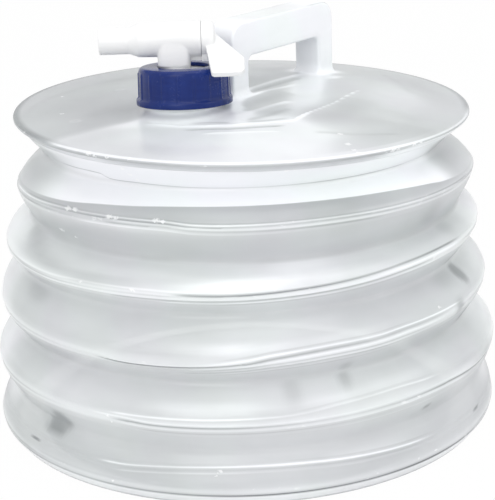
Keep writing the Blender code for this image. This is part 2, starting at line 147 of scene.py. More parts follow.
class Finish:
    def __init__(self, name, world=None):
        self.owner = world or bpy.data.materials.new(name)
        self.owner.use_nodes = True
        self.tree = self.owner.node_tree
        self.tree.nodes.clear()

    def add(self, kind, settings=None, values=None, output=0):
        node = self.tree.nodes.new(kind)
        for key, value in (settings or {}).items():
            if key == "stops":
                ramp = node.color_ramp
                while len(ramp.elements) < len(value):
                    ramp.elements.new(1)
                for element, (place, colour) in zip(ramp.elements, value):
                    element.position, element.color = place, (*colour, 1)
            else:
                setattr(node, key, value)
        pairs = values.items() if isinstance(values, dict) else enumerate(values or [])
        for key, value in pairs:
            if isinstance(value, Sock):
                self.tree.links.new(value.socket, node.inputs[key])
            elif isinstance(value, tuple) and len(value) == 3 and node.inputs[key].type == "RGBA":
                node.inputs[key].default_value = (*value, 1)
            else:
                node.inputs[key].default_value = value
        return Sock(self, node.outputs[output]) if len(node.outputs) else node

    def mixColour(self, factor, a, b, blend="MIX"):
        return self.add("ShaderNodeMix", {"data_type": "RGBA", "blend_type": blend},
                        {0: factor, 6: a, 7: b}, output=2)

    def read(self, name, output=2):
        return self.add("ShaderNodeAttribute", {"attribute_name": name}, output=output)

    def rest(self):
        return self.read("restPlace", output=1)

    def noise(self, vector, scale, detail=2.0, roughness=0.5, distortion=0.0, output=0):
        return self.add("ShaderNodeTexNoise", None, {"Vector": vector, "Scale": scale, "Detail": detail,
                        "Roughness": roughness, "Distortion": distortion}, output)

    def vectors(self, operation, *values, output=0):
        return self.add("ShaderNodeVectorMath", {"operation": operation}, values, output)

    def stretch(self, vector, scale):
        return self.vectors("MULTIPLY", vector, scale)

    def bump(self, height, strength, distance, normal=None):
        values = {"Height": height, "Strength": strength, "Distance": distance}
        if normal:
            values["Normal"] = normal
        return self.add("ShaderNodeBump", None, values)

    def shader(self, **values):
        named = {key.replace("_", " "): value for key, value in values.items()}
        return self.add("ShaderNodeBsdfPrincipled", None, named)

    def blend(self, factor, first, second):
        return self.add("ShaderNodeMixShader", None, {0: factor, 1: first, 2: second})

    def roomSeen(self):              # 1 for the camera, gloss and glass, 0 for the light on the object
        ray = self.add("ShaderNodeLightPath")
        outlets = ray.socket.node.outputs
        gloss, glass = outlets["Is Glossy Ray"], outlets["Is Transmission Ray"]
        return (ray + Sock(self, gloss) + Sock(self, glass)).clamped()

    def done(self, surface):
        self.add("ShaderNodeOutputMaterial", None, {"Surface": surface})
        return self.owner


# camera, as the photograph was taken

view = dict(place=(0, -0.9, 0.3831), down=17.91, roll=-1.96, lens=120.5, shift=0.00816)
eye = bpy.data.cameras.new("photoCamera")
eye.lens, eye.sensor_width, eye.shift_x = view["lens"], 36, view["shift"]
eye.clip_start, eye.clip_end = 0.01, 50
camera = bpy.data.objects.new("photoCamera", eye)
camera.matrix_world = (Matrix.Translation(view["place"])
                       @ Matrix.Rotation(radians(90 - view["down"]), 4, "X")
                       @ Matrix.Rotation(radians(view["roll"]), 4, "Z"))
scene.collection.objects.link(camera)
scene.camera = camera
print("camera in place")


# bottle plastic: milky, thin and see-through; each point carries its own tone (the plastic's own with painted
# light and shade in it), body and crease

milky = dict(
    colours=[(0.0, (0.05, 0.058, 0.064)), (0.25, (0.25, 0.27, 0.28)), (0.5, (0.52, 0.545, 0.555)),
             (0.75, (0.76, 0.79, 0.80)), (1.0, (0.935, 0.965, 0.985))],             # from dark to bright tone
    hues=[(0.44, 0.60, 0.6, (1.0, 0.968, 0.995)), (0.48, 0.34, 0.4, (0.985, 1.0, 0.97))],   # faint casts
    fleck=(0.97, 0.975, 0.98), behind=(0.74, 0.765, 0.78), clouds=0.14, streaks=0.12, whitening=0.13,
    patches=0.12, rough=0.30, bend=1.5, coat=0.35, coatRough=0.16, nickFlat=2.6, nickShake=0.0026)


def withNicks(look, at, fleck, nicks):       # torn flecks at given places, with ragged outlines
    flat, shake = milky["nickFlat"], milky["nickShake"]
    ragged = look.noise(at, 700.0, 1.0, output=1)
    here = look.stretch(look.vectors("MULTIPLY_ADD", ragged, (shake, shake, shake), at), (1.0, 1.0, flat))
    for place, size in nicks:
        spot = place + Vector((shake, shake, shake)) / 2
        gap = look.vectors("DISTANCE", here, (spot.x, spot.y, flat * spot.z), output=1)
        fleck = fleck + gap.ramp(size * 1.3 * mm, size * 0.35 * mm) * 0.9
    return fleck


def bottleFinish(name, through, flecks, nicks):
    look = Finish(name)
    at = look.rest()
    tone, body, crease = look.read("tone"), look.read("body"), look.read("crease")
    cloud = look.noise(at, 14.0, 3.0, 0.55)
    streak = look.noise(look.stretch(at, (9.0, 9.0, 55.0)), 1.0, 3.0, 0.6, 0.3)
    fine = look.noise(at, 420.0, 2.0, 0.6)
    level = tone + (cloud - 0.5) * milky["clouds"] + (streak - 0.5) * milky["streaks"]

    grain = look.noise(look.stretch(at, (170.0, 170.0, 420.0)), 1.0, 2.0, 0.5)
    patch = look.noise(at, 24.0, 1.0, 0.5)
    fleck = grain.ramp(0.62, 0.74) * crease.ramp(0.25, 0.95) * patch.ramp(0.50, 0.62) * flecks
    fleck = withNicks(look, at, fleck, nicks).clamped()

    colour = look.add("ShaderNodeValToRGB", {"stops": milky["colours"]}, [level.clamped()])
    hue = look.noise(at, 22.0, 1.0, 0.5)
    for low, high, amount, cast in milky["hues"]:
        tinted = look.mixColour(1.0, colour, cast, "MULTIPLY")
        colour = look.mixColour(hue.ramp(low, high) * amount, colour, tinted)
    colour = look.mixColour(fleck * 0.85, colour, milky["fleck"])
    whiteningAndPaintedLight = body + level.ramp(0.72, 0.96) * milky["whitening"]       # bright tone, from whitened plastic and from painted light, is also less clear
    cover = (whiteningAndPaintedLight + fleck * 0.4 + (cloud - 0.5) * milky["patches"]).clamped()
    rough = milky["rough"] + (fine - 0.5) * 0.08 + fleck * 0.2

    dents = look.noise(at, 60.0, 2.0, 0.5)
    ripple = look.noise(look.stretch(at, (30.0, 30.0, 160.0)), 1.0, 2.0, 0.5)
    normal = look.bump(dents * 0.6 + ripple * 0.4, 0.4, 0.0012)
    normal = look.bump(fine + fleck * 2.0, 0.2, 0.00006, normal)
    front = look.shader(Base_Color=colour, Roughness=rough, Normal=normal, IOR=milky["bend"],
                        Coat_Weight=milky["coat"], Coat_Roughness=milky["coatRough"])
    behind = look.add("ShaderNodeBsdfTranslucent", None, {"Color": milky["behind"], "Normal": normal})
    milk = look.blend((1 - whiteningAndPaintedLight.ramp(0.87, 0.97)) * through, front, behind)
    clear = look.add("ShaderNodeBsdfTransparent", None, {"Color": (1.0, 1.0, 1.0)})
    return look.done(look.blend(cover, clear, milk))


# bellows: base, five folds and their creases, one closed skin

rings = [    # radius, height, tilt along x and y in degrees, shift along x; in mm, base edge up to top ridge
    (136.3, 3.0, 0.0, 0.0, -0.8), (140.3, 10.6, 0.14, 0.48, -0.6),
    (132.3, 29.1, 0.36, 0.0, 0.8), (140.0, 46.3, 0.64, 0.45, 0.1),
    (126.5, 64.2, 0.34, -0.05, -1.3), (135.6, 80.4, 1.28, 1.56, -0.5),
    (122.8, 98.9, -0.22, -0.02, -2.6), (131.3, 112.1, 1.13, 0.58, -0.4),
    (117.8, 124.3, -0.45, 0.04, 1.2), (125.9, 141.4, 0.73, -1.32, 2.4),
    (109.0, 158.6, 0.03, -0.37, 2.0), (124.1, 175.0, -0.99, -0.07, 1.4)]
topRidge = len(rings) - 1

# Creases follow guides. A guide is a table of (facing, mm above its ridge); 180 faces left, 270 the front,
# 360 right, and the back mirrors the front. Each line on it: mm off the guide, half width, relief, tone
# (painted shade in the grooves, painted highlight on the lips), first and last facing. The second guide of
# ridge 9 only marks where the edge of its painted bright reflection runs.
guides = {
    1: [([(180, 0), (360, 0)],
         [(-1.5, 1.1, -0.15, -0.70, 170, 370), (0.2, 0.8, 0.2, 0.0, 170, 370),
          (2.0, 1.0, 0.0, -0.10, 215, 262)]),
        ([(180, 9), (240, 9.5), (248, 10.8), (258, 12.2), (270, 12.8), (281, 12.5), (290, 11.5),
          (302, 10.2), (310, 9.5), (330, 8.5), (360, 9)],
         [(-3.0, 0.7, 0.15, 0.14, 238, 300), (-1.6, 0.7, -0.15, -0.14, 240, 312),
          (0.0, 0.8, 0.3, 0.28, 234, 316), (1.5, 0.8, -0.1, -0.12, 276, 316)])],
    3: [([(180, -0.5), (242, 0.2), (250, -0.6), (292, -0.2), (317, 0), (333, -2), (350, -1), (360, -0.5)],
         [(-5.6, 0.7, 0.1, 0.08, 250, 320), (-3.8, 0.7, -0.12, -0.16, 244, 334),
          (-1.7, 0.8, 0.15, 0.12, 240, 330), (0.0, 0.8, -0.3, -0.55, 239, 345),
          (1.3, 0.6, 0.2, 0.14, 234, 345)]),
        ([(180, 3.4), (239, 3.0), (260, 3.3), (270, 3.6), (280, 4.0), (290, 5.8), (303, 7), (312, 6),
          (330, 4.5), (360, 4)],
         [(0.0, 0.8, 0.25, 0.25, 238, 318), (1.5, 0.7, -0.1, -0.12, 278, 316)])],
    5: [([(180, -0.5), (236, -0.8), (242, -2.1), (250, -2.3), (261, -1.6), (270, 0), (276, 1.5),
          (288, 2.6), (300, 2.2), (308, 2.5), (325, 1.5), (345, 0), (360, -0.5)],
         [(-8.4, 0.7, -0.1, -0.13, 262, 304), (-7.0, 0.7, 0.1, 0.1, 262, 300),
          (-5.5, 0.6, -0.15, -0.2, 254, 308), (-4.2, 0.6, 0.12, 0.12, 262, 312),
          (-2.9, 0.6, -0.15, -0.28, 258, 318), (-1.5, 0.6, 0.2, 0.16, 255, 322),
          (0.0, 0.8, -0.3, -0.6, 235, 324), (1.4, 0.7, 0.25, 0.25, 236, 330),
          (2.8, 0.6, -0.1, -0.12, 262, 312)])],
    7: [([(180, 0), (221, 0), (230, 0.8), (248, 1), (257, 0.5), (268, 0.2), (284, 0.8), (292, 1.2),
          (300, 1.8), (310, 2.8), (323, 3), (340, 1.5), (360, 0)],
         [(-6.4, 0.7, -0.1, -0.14, 262, 320), (-4.9, 0.6, 0.12, 0.14, 250, 324),
          (-3.5, 0.6, -0.2, -0.36, 238, 320), (-2.0, 0.7, 0.2, 0.2, 215, 332),
          (-0.8, 0.6, -0.2, -0.34, 203, 258), (0.2, 0.8, -0.3, -0.62, 253, 332),
          (1.2, 0.6, 0.25, 0.18, 200, 262)])],
    9: [([(180, 1.5), (207, 2), (223, 3), (250, 2.8), (258, 1.3), (270, 0.8), (290, 0.7), (317, 0),
          (345, 0), (360, 0.5)],
         [(-4.2, 0.6, 0.1, 0.12, 226, 320), (-2.9, 0.6, -0.15, -0.3, 234, 306),
          (-1.9, 0.6, 0.15, 0.16, 236, 334), (-0.9, 0.55, -0.15, -0.26, 196, 334),
          (0.1, 0.55, 0.25, 0.34, 190, 346), (1.1, 0.6, -0.15, -0.22, 200, 342)]),
        ([(180, 3.4), (205, 4.8), (222, 6.8), (232, 9), (242, 10.5), (251, 11.8), (262, 12.4),
          (282, 12.2), (294, 11.5), (308, 9.8), (320, 7), (326, 5), (340, 3.2), (360, 3.2)],
         [(0.0, 0.35, 0.0, 0.0, 0, 1)])],
    11: [([(180, -18), (218, -17.4), (230, -17.2), (231.5, -20.4), (241, -20.7), (256, -21.6),
           (270, -21.8), (360, -21.6)],
          [(0.0, 0.7, -0.15, -0.36, 212, 322)])]}
paintedLightAndShade = [   # painted light and shade on the walls, glows and dark reflections: ridge, mm above it, how tall, facing, how wide, tone
    (7, 16, 4.5, 203.5, 3, -0.14), (7, 12, 4.5, 207.5, 3.6, -0.14), (7, 8.4, 4, 212, 4.4, -0.12),
    (7, 5.4, 3.4, 218, 6, -0.12), (7, 3.6, 2.4, 232, 12, -0.12), (9, -2.5, 3, 255, 30, 0.06),
    (7, 4.2, 2.6, 267, 13, 0.12), (7, 4.4, 2.4, 300, 14, 0.06), (9, -9, 6, 321, 4, -0.12),
    (7, 13, 7, 329, 3, -0.12), (5, 18, 4.5, 212, 5, -0.16), (5, 6, 3.5, 270, 14, 0.10),
    (5, 6.5, 2.6, 292, 10, 0.07), (5, 15, 8, 334.8, 2.2, -0.40), (5, 17, 6, 328, 5, -0.14),
    (7, -11, 3, 333, 2.5, -0.2), (5, 0, 4, 327, 1.8, -0.30), (5, -11, 5.5, 334.6, 2.6, -0.44),
    (3, 8.4, 3.6, 263, 15, 0.10), (3, 10.5, 3.6, 304, 12, 0.08), (3, 8.4, 3.4, 287, 8, 0.07),
    (3, 16, 7, 280, 2.2, -0.16), (5, -14, 4, 293, 1.6, -0.16), (3, 18.5, 5.5, 292.5, 1.6, -0.22),
    (3, -14, 6.8, 223.2, 3.3, -0.37), (3, -18, 4, 220.2, 3.0, -0.37), (7, 12, 7, 292, 22, 0.04),
    (1, 17.6, 4.8, 220.4, 3.6, -0.37), (1, 14.2, 1.5, 216.2, 1.4, -0.36), (1, 6.4, 0.8, 214.6, 2, -0.45),
    (1, 13.6, 2.2, 302, 14, 0.10), (3, -15, 4, 313, 6, -0.10), (3, -10.6, 0.8, 312.4, 1.8, -0.5),
    (3, -12.8, 0.7, 308, 1, -0.35), (1, 7.4, 0.9, 333, 1.8, -0.4), (9, 18, 8, 341, 9, -0.08),
    (9, 12, 8, 194, 9, -0.06)]
nickSpots = [   # worn and torn flecks along the creases: ridge, mm above it, facing, size in mm
    (9, 3.2, 223.3, 2.3), (9, 3.6, 225.8, 2.0), (9, 3.0, 236.8, 2.4), (9, 2.6, 238.6, 1.6),
    (9, 3.3, 249, 2.2), (9, 2.9, 250.6, 1.8), (9, -12.2, 218.5, 2.4), (9, -14.4, 223.5, 1.5),
    (7, 1.6, 245, 1.8), (7, 1.4, 231, 1.3), (11, -9, 239.4, 1.4), (11, -13.8, 240.5, 1.3),
    (11, -17.8, 241.6, 1.4), (11, -7.2, 280, 1.6), (11, -6.8, 282, 1.2), (3, 1.0, 239.2, 1.2),
    (3, -1.8, 240, 0.9), (1, 10.6, 263.5, 1.3), (1, 8.6, 262.6, 0.9), (5, -0.8, 238.4, 1.1),
    (1, 0.6, 240, 1.2), (5, 5.6, 319, 1.2)]

bellows = dict(
    columns=360, wall=1.2, gap=2.6, openEnd=4.9, tuck=0.7, valleySoft=(0.3, 1.6),
    bulge=(0.9, 1.0, 0.8, 2.0, 0.8, 2.2, 0.8, 2.2, 0.8, 1.4, 0.0),       # of each wall, base up
    base=(6, 20, 36, 54, 72, 90, 101), dish=3.6, dishRise=0.9,           # radii of the base's rows
    foot=[(135.1, 1.3), (133.5, 0.35), (131.4, 0.0), (124.0, 0.0), (118.0, 0.0), (115.5, 1.4), (113.0, 3.3),
          (110.0, 3.6)],                                                 # radius and height
    baseInside=(6, 36, 72, 101),
    footInside=[(109.2, 4.8), (116.2, 2.3), (118.6, 1.2), (131.2, 1.2), (134.0, 2.6)],
    tone=0.675, ridgeTone={1: 0.05, 3: 0.065, 5: 0.055, 7: 0.09, 9: 0.0, 11: 0.0}, body=0.88,
    baseLook=(0.66, 0.50, 0.0), footLook=(0.80, 0.80, 0.0),              # tone, body and crease; the foot's tone is raised as painted light on its shaded side
    middleLook=(0.66, 0.4, 0.0), insideLook=(0.78, 0.05, 0.0))


def facing(heading):          # the same on the back as on the front
    turn = degrees(heading) % 360
    return turn if turn >= 180 else 360 - turn


def ringAt(place):            # the ring at a place between two of the list
    low = min(int(place), len(rings) - 2)
    return [between(a, b, place - low) for a, b in zip(rings[low], rings[low + 1])]


def settle(radius, height, place, angle):   # from the profile to a point, with the fold's own tilt and shift
    tiltX, tiltY, shift = ringAt(place)[2:]
    x, y = radius * cos(angle) + shift, radius * sin(angle)
    rise = x * tan(radians(tiltX)) + y * tan(radians(tiltY))
    return Vector((x, y, height + rise)) * mm


def wallLine(low):            # start, direction, length and outward normal of a wall
    (r0, z0), (r1, z1) = rings[low][:2], rings[low + 1][:2]
    length = hypot(r1 - r0, z1 - z0)
    along, away = ((r1 - r0) / length, (z1 - z0) / length), ((z1 - z0) / length, (r0 - r1) / length)
    return (r0, z0), along, length, away


def wallPoint(low, spot):     # a wall bulges most near its ridge, and its valley is soft
    start, along, length, away = wallLine(low)
    share = (spot if low % 2 else length - spot) / length
    swell = bellows["bulge"][low] * 6.75 * share * (1 - share) ** 2      # 6.75 makes the bulge's own height 1
    r = start[0] + along[0] * spot + away[0] * swell
    z = start[1] + along[1] * spot + away[1] * swell
    if low:
        r += bellows["valleySoft"][0] * exp(-((1 - share) * length / bellows["valleySoft"][1]) ** 2)
    return r, z


def foldPlace(ridge, above):  # a place off a ridge: its wall, mm along it, and place in the list of rings
    low = ridge if above >= 0 else ridge - 1
    length = wallLine(low)[2]
    spot = above if above >= 0 else max(length + above, 0)
    return low, spot, low + spot / length


def onFold(ridge, above, heading, push=0.0):
    low, spot, place = foldPlace(ridge, above)
    r, z = wallPoint(low, spot)
    away = wallLine(low)[3]
    return settle(r + away[0] * push, z + away[1] * push, place, heading)


def foldRows(ridge):          # the rows of a fold, as pairs of (guide, mm off it) and a share between the two
    knots = [(None, -wallLine(ridge - 1)[2])]
    for guide, lines in guides[ridge]:
        marks = []
        for mark in sorted(line[0] + edge for line in lines for edge in (-line[1], 0, line[1])):
            if not marks or mark - marks[-1] > 0.25:
                marks.append(mark)
        knots += [(guide, mark) for mark in marks]
    knots.append((None, wallLine(ridge)[2] if ridge < topRidge else -bellows["openEnd"]))
    rows = []
    for low, high in zip(knots, knots[1:]):
        steps = max(1, ceil((knotAt(high, 270) - knotAt(low, 270)) / bellows["gap"]))
        rows += [(low, high, k / steps) for k in range(steps)]
    return rows + ([(knots[-1], knots[-1], 0)] if ridge == topRidge else [])


def knotAt(knot, turn):
    return (stops(knot[0], turn) if knot[0] else 0) + knot[1]


def lineStrength(ridge, place, heading):   # the fine lines wax and wane round the bottle
    wander = noise.noise(Vector((cos(heading) * 1.7, sin(heading) * 1.7, ridge * 3.1 + place)))
    return min(max(0.8 + 0.9 * wander, 0.2), 1.2)


def foldToneWithPaintedLight(ridge, above, heading):
    turn = facing(heading)
    tone = bellows["tone"] + bellows["ridgeTone"][ridge]
    # painted light: lighter towards both sides, a little darker right of the front on the lower folds
    tone += (0.11 * (1 - smooth(190, 212, turn)) + 0.09 * smooth(335, 350, turn)
             - 0.05 * peak(turn, 308, 18) * (ridge < 7))
    # painted light: the folds are lit in front, within this window of facings
    lit = smooth(198, 224, turn) * (1 - smooth(324, 336, turn))
    if ridge == topRidge:
        tone += 0.28 * lit
    elif ridge == 9 and above > 0:           # painted reflection: bright above its edge, darker below it
        edge = above - stops(guides[9][1][0], turn)
        tone += between(-0.10 - 0.06 * peak(turn, 290, 20), 0.28 * lit, smooth(-0.3, 0.3, edge))
    elif ridge == 1:
        # painted light on the band below the lowest ridge; just above that ridge a little darker
        tone += 0.16 if above < -2.5 else -0.06 * (1 - smooth(8, 14, above))
    darkestPaintedReflection = 0.0
    for where, height, tall, middle, wide, change in paintedLightAndShade:
        if where == ridge and (change > 0 or sin(heading) < 0.1):      # no painted dark reflections on the back
            gap = hypot((above - height) / tall, (turn - middle) / wide)
            if gap < 2 and change < -0.35:     # a crisp painted dark reflection; where two lap they get no darker
                darkestPaintedReflection = min(darkestPaintedReflection, change * exp(-gap ** 6))
            elif gap < 2:
                tone += change * exp(-gap ** 3)
    return tone + darkestPaintedReflection


def skin(form, rows, layers):
    made = []
    for row in rows:
        line = []
        for point, values in row:
            vertex = form.verts.new(point)
            for layer, value in zip(layers, values):
                vertex[layer] = value
            line.append(vertex)
        if made:
            bridge(form, made[-1], line)
        made.append(line)
    return made


def newForm():
    form = bmesh.new()
    layers = [form.verts.layers.float.new(name) for name in ("tone", "body", "crease")]
    return form, layers


def keepRest(form):           # the place of each point at rest, so that patterns follow the skin
    layer = form.verts.layers.float_vector.new("restPlace")
    for vertex in form.verts:
        vertex[layer] = vertex.co


def lineAt(ridge, guide, mark, heading):     # a line at one heading: its place, half width, relief and painted tone
    off, half, relief, tone, start, end = mark
    turn = facing(heading)
    tone = tone * smooth(start, start + 5, turn) * (1 - smooth(end - 8, end, turn))
    return stops(guide, turn) + off, half, relief, tone * lineStrength(ridge, off, heading) * 0.85


def foldColumn(ridge, rows, heading):        # the points of one fold at one heading, from its valley up
    turn = facing(heading)
    lines = [lineAt(ridge, guide, mark, heading) for guide, marks in guides[ridge] for mark in marks]
    paintedOutlineSides = 1 - smooth(200, 232, turn) + smooth(322, 342, turn)
    column, last = [], -1e9
    for low, high, share in rows:
        above = max(between(knotAt(low, turn), knotAt(high, turn), share), last + 0.1)
        last = above
        push = tint = 0.0
        for middle, half, relief, tone in lines:
            near = max(0.0, 1 - abs(above - middle) / half)
            push += relief * near
            tint += tone * near
        if ridge == topRidge:
            push -= bellows["tuck"] * smooth(-bellows["openEnd"] - 2.5, -bellows["openEnd"] - 0.5, above)
        tint -= 0.34 * max(0.0, 1 - abs(above) / 0.9) * paintedOutlineSides          # painted dark outlines where the sides are seen edge-on
        crease = peak(above, 0, 2.4) if ridge < topRidge else 0.0
        values = foldToneWithPaintedLight(ridge, above, heading) + tint, bellows["body"] + 0.1 * crease, crease
        column.append((onFold(ridge, above, heading, push), values))
    return column


def dishHeight(r):            # the base rises towards its middle
    return bellows["dish"] + bellows["dishRise"] * (1 - r / 110)


def insideProfile():          # radius, height and place of the inner side, a wall's thickness in
    wall = bellows["wall"]
    profile = [(r, dishHeight(r) + wall, 0) for r in bellows["baseInside"]]
    profile += [(r, z, 0) for r, z in bellows["footInside"]]
    for low in range(topRidge):
        length, away = wallLine(low)[2:]
        last = low == topRidge - 1
        for share in (0, 0.12, 0.28, 0.44, 0.62, 0.82) + ((1,) if last else ()):
            spot = share * (length - bellows["openEnd"] * last)
            r, z = wallPoint(low, spot)
            if share == 0 and low:           # where two walls meet
                before = wallLine(low - 1)[3]
                size = wall / (1 + before[0] * away[0] + before[1] * away[1])
                r, z = r - (before[0] + away[0]) * size, z - (before[1] + away[1]) * size
            else:
                deep = wall + (bellows["tuck"] if share == 1 else 0)
                r, z = r - away[0] * deep, z - away[1] * deep
            profile.append((r, z, low + spot / length))
    return profile


def makeBellows():
    form, layers = newForm()
    count = bellows["columns"]
    headings = [2 * pi * k / count for k in range(count)]

    def level(r, z, place, values):
        return [(settle(r, z, place, heading), values) for heading in headings]

    rows = [level(r, dishHeight(r), 0, bellows["baseLook"]) for r in bellows["base"]]
    rows += [level(r, z, 0, bellows["footLook"]) for r, z in reversed(bellows["foot"])]
    for ridge in range(1, topRidge + 1, 2):
        spots = foldRows(ridge)
        rows += zip(*(foldColumn(ridge, spots, heading) for heading in headings))
    outer = skin(form, rows, layers)
    inside = skin(form, [level(*spot, bellows["insideLook"]) for spot in insideProfile()], layers)
    bridge(form, outer[-1], inside[-1])
    for line in (outer[0], inside[0]):       # close the middle of the base
        centre = form.verts.new(sum((v.co for v in line), Vector()) / count)
        for layer, value in zip(layers, bellows["middleLook"]):
            centre[layer] = value
        for index, vertex in enumerate(line):
            form.faces.new((vertex, line[(index + 1) % count], centre))
    keepRest(form)
    return addPiece("bellows", form, wallFinish)


wallFinish = bottleFinish("milkyBottleWall", 0.20, 0.7, [(onFold(ridge, above, radians(turn)), size)
                                                         for ridge, above, turn, size in nickSpots])
walls = makeBellows()
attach(walls, "base")
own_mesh(walls)
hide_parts("bottle_base", "fold_wall_1", "fold_wall_2", "fold_wall_3", "fold_wall_4", "fold_wall_5",
            "ridge_ring_1", "ridge_ring_2", "ridge_ring_3", "ridge_ring_4")
print("bellows:", len(walls.data.polygons), "faces")


# top of the bottle: low crown, top ridge's lip, threaded neck and hollow handle, one closed skin

crown = dict(
    middle=183.5, bend=60.0, soft=6.0, slope=0.1161, shift=1.4, tilt=(-0.99, -0.07), planRim=118.0,
    columns=360, rows=44, spacing=2.6, cell=4, wall=1.2, body=0.80, rowRoom=1.5, dentRoom=0.7,
    markRoom=0.5, markStep=1.4, markSides=(0, -0.5, 0.5, -1, 1, -1.7, 1.7),      # points on a pressed line
    spreads=[(0.3, 0.2), (0.8, 0.35), (1.5, 0.5), (2.4, 0.7), (3.4, 0.9), (4.6, 1.1),
             (6.2, 1.4)],                    # mm outside the neck and the feet, and room round a point
    rimTop=[(119.8, -0.20, 0.0, 1.2), (121.3, -0.38, 0.0, 1.2), (122.5, -0.52, 0.0, 1.2),
            (123.1, -0.58, 0.06, 1.2), (123.6, -0.66, 0.22, 1.15)],      # radius, height off edge, tone (a painted highlight at the edge), wall
    rimBead=[(124.1, 175.7, 0.28, 1.1), (124.45, 175.1, -0.12, 1.05), (124.45, 174.5, -0.38, 1.0),
             (124.1, 174.0, -0.38, 0.95), (123.5, 173.4, -0.26, 0.9)],   # radius, height, tone (a painted highlight line over a painted dark line), wall
    lip=[(2.1, -0.22, 0.85), (3.2, -0.19, 0.75), (4.4, -0.15, 0.65), (5.6, -0.08, 0.55),
         (6.3, -0.02, 0.5)])                 # mm down the wall, tone (painted shadow under the rim), wall
neck = dict(
    lip=(-28.2, -35.3, 199.3), lean=4.0, radius=20.3, bore=18.1, fillet=3.0, spread=7.5, columns=96,
    rows=36, foot=0.3, look=(0.90, 0.90), wall=1.0, thread=1.15, pitch=6.04, turns=(-9.4, -2.2))
grip = dict(
    heading=51.0, gap=64.0, leg=14.0, across=17.0, height=223.5, under=204.0, outer=10.0, inner=4.0,
    corner=1.5, flare=3.0, flareHeight=4.5, side=6, arc=6, tone=0.97, body=0.95, wall=1.5)

neckAxis = Vector((0, sin(radians(neck["lean"])), cos(radians(neck["lean"]))))
neckFrame = Matrix.Translation(Vector(neck["lip"]) * mm) @ Matrix.Rotation(-radians(neck["lean"]), 4, "X")
neckFoot = Vector(neck["lip"]) - neckAxis * (neck["lip"][2] - crown["middle"]) / neckAxis.z
alongGrip = Vector((cos(radians(grip["heading"])), sin(radians(grip["heading"]))))
acrossGrip = Vector((-alongGrip.y, alongGrip.x))
footMiddles = (-grip["leg"] / 2, grip["gap"] + grip["leg"] / 2)

topMarks = [   # lines pressed or creased into the top, their tone part the plastic's own and part painted highlight and shade: points in plan, height, half width, tone, bead pitch
    ([(-52.0, -57.0), (-30.1, -68.5), (-17.4, -71.6), (-4.7, -72.2), (13.2, -68.4), (28.1, -64.9),
      (39.7, -49.3)], 0.6, 1.2, 0.30, 0),
    ([(28.1, -64.9), (39.7, -49.3), (51.8, -31.0), (68.1, 1.1)], 0.7, 1.3, 0.24, 5.2),
    ([(0.0, -3.0), (38.0, 45.0)], 0.3, 2.6, 0.24, 0), ([(0.0, -12.0), (36.0, 34.0)], -0.3, 2.2, -0.24, 0),
    ([(0.0, -17.0), (36.0, 18.0)], 0.3, 1.8, 0.20, 0),
    ([(0.0, -36.0), (30.0, -5.0)], -0.2, 7.0, -0.12, 0),
    ([(-3.0, -58.0), (29.0, -26.0)], 0.4, 3.0, 0.22, 0),
    ([(0.0, -66.0), (28.0, -44.0)], -0.2, 2.6, -0.15, 0),
    ([(-30.0, -64.5), (-4.7, -68.4), (13.2, -64.8), (27.0, -60.6)], 0.0, 1.3, -0.14, 0),
    ([(-30.0, -74.0), (-5.7, -76.7), (5.4, -75.6), (24.8, -72.6)], -0.3, 1.2, -0.22, 0),
    ([(-20.0, -82.2), (21.9, -82.4)], 0.3, 1.0, 0.08, 0),
    ([(36.5, -81.9), (55.4, -83.5), (84.0, -77.3)], -0.2, 1.6, -0.09, 0),
    ([(-6.0, 4.0), (-3.0, -35.0), (0.6, -76.0)], 0.4, 4.2, 0.34, 0),
    ([(85.0, 62.0), (89.1, 42.4), (97.0, -4.0)], 0.25, 2.6, -0.07, 0)]
topDents = [   # plan, size
    ((-66.5, 20.0), 3.0), ((-85.8, -42.7), 3.6), ((55.6, 29.5), 2.2), ((-48.0, 42.0), 2.4)]
topPaintedLightAndShade = [   # painted light and shade, glows, shadows and reflections: plan, half lengths along and across, heading, tone
    ((38.5, 6.0), 48, 11, 81, 0.29), ((37.0, -33.0), 24, 9, 60, 0.12), ((-86.0, 10.0), 44, 22, 90, -0.06),
    ((-62.0, 62.0), 26, 14, 40, -0.10), ((-60.0, -20.0), 26, 16, 20, -0.05),
    ((84.0, -14.0), 36, 18, 80, 0.12), ((103.0, 12.0), 34, 10, 100, -0.09),
    ((70.0, -88.0), 30, 11, 35, -0.12), ((56.0, -46.0), 26, 9, 62, -0.10), ((55.3, 33.3), 6, 4, 60, 0.22),
    ((-7.0, 28.0), 26, 14, 60, -0.06), ((-4.0, -30.0), 18, 9, 90, 0.26), ((-30.0, -58.0), 36, 9, 0, 0.12)]
paintedLightEdge = [(-140, -96), (-104, -80), (-84, -66), (-60, -52), (-40, -46), (-4, -48), (26, -56), (60, -74),
              (140, -86)]    # painted light: the front is bright up to this line in plan


def lineGap(x, y, points):    # distance to a line of points, and how far along it, 0 to 1
    best = (1e9, 0.0)
    for index, ((ax, ay), (bx, by)) in enumerate(zip(points, points[1:])):
        dx, dy = bx - ax, by - ay
        t = min(max(((x - ax) * dx + (y - ay) * dy) / (dx * dx + dy * dy), 0), 1)
        best = min(best, (hypot(x - ax - dx * t, y - ay - dy * t), (index + t) / (len(points) - 1)))
    return best


def footPlace(x, y, middle):  # a foot of the handle, seen from above: distance outside its outline
    point = Vector((x, y))
    a = abs(point.dot(alongGrip) - middle) - grip["leg"] / 2 + grip["corner"]
    b = abs(point.dot(acrossGrip)) - grip["across"] / 2 + grip["corner"]
    return hypot(max(a, 0), max(b, 0)) + min(max(a, b), 0) - grip["corner"]


def crownHeight(x, y):
    reach = hypot(x, y)
    fall = crown["soft"] * softRamp((reach - crown["bend"]) / crown["soft"])
    tiltX, tiltY = crown["tilt"]
    rise = (x * tan(radians(tiltX)) + y * tan(radians(tiltY))) * smooth(70, 124, reach)
    return crown["middle"] - crown["slope"] * fall + rise


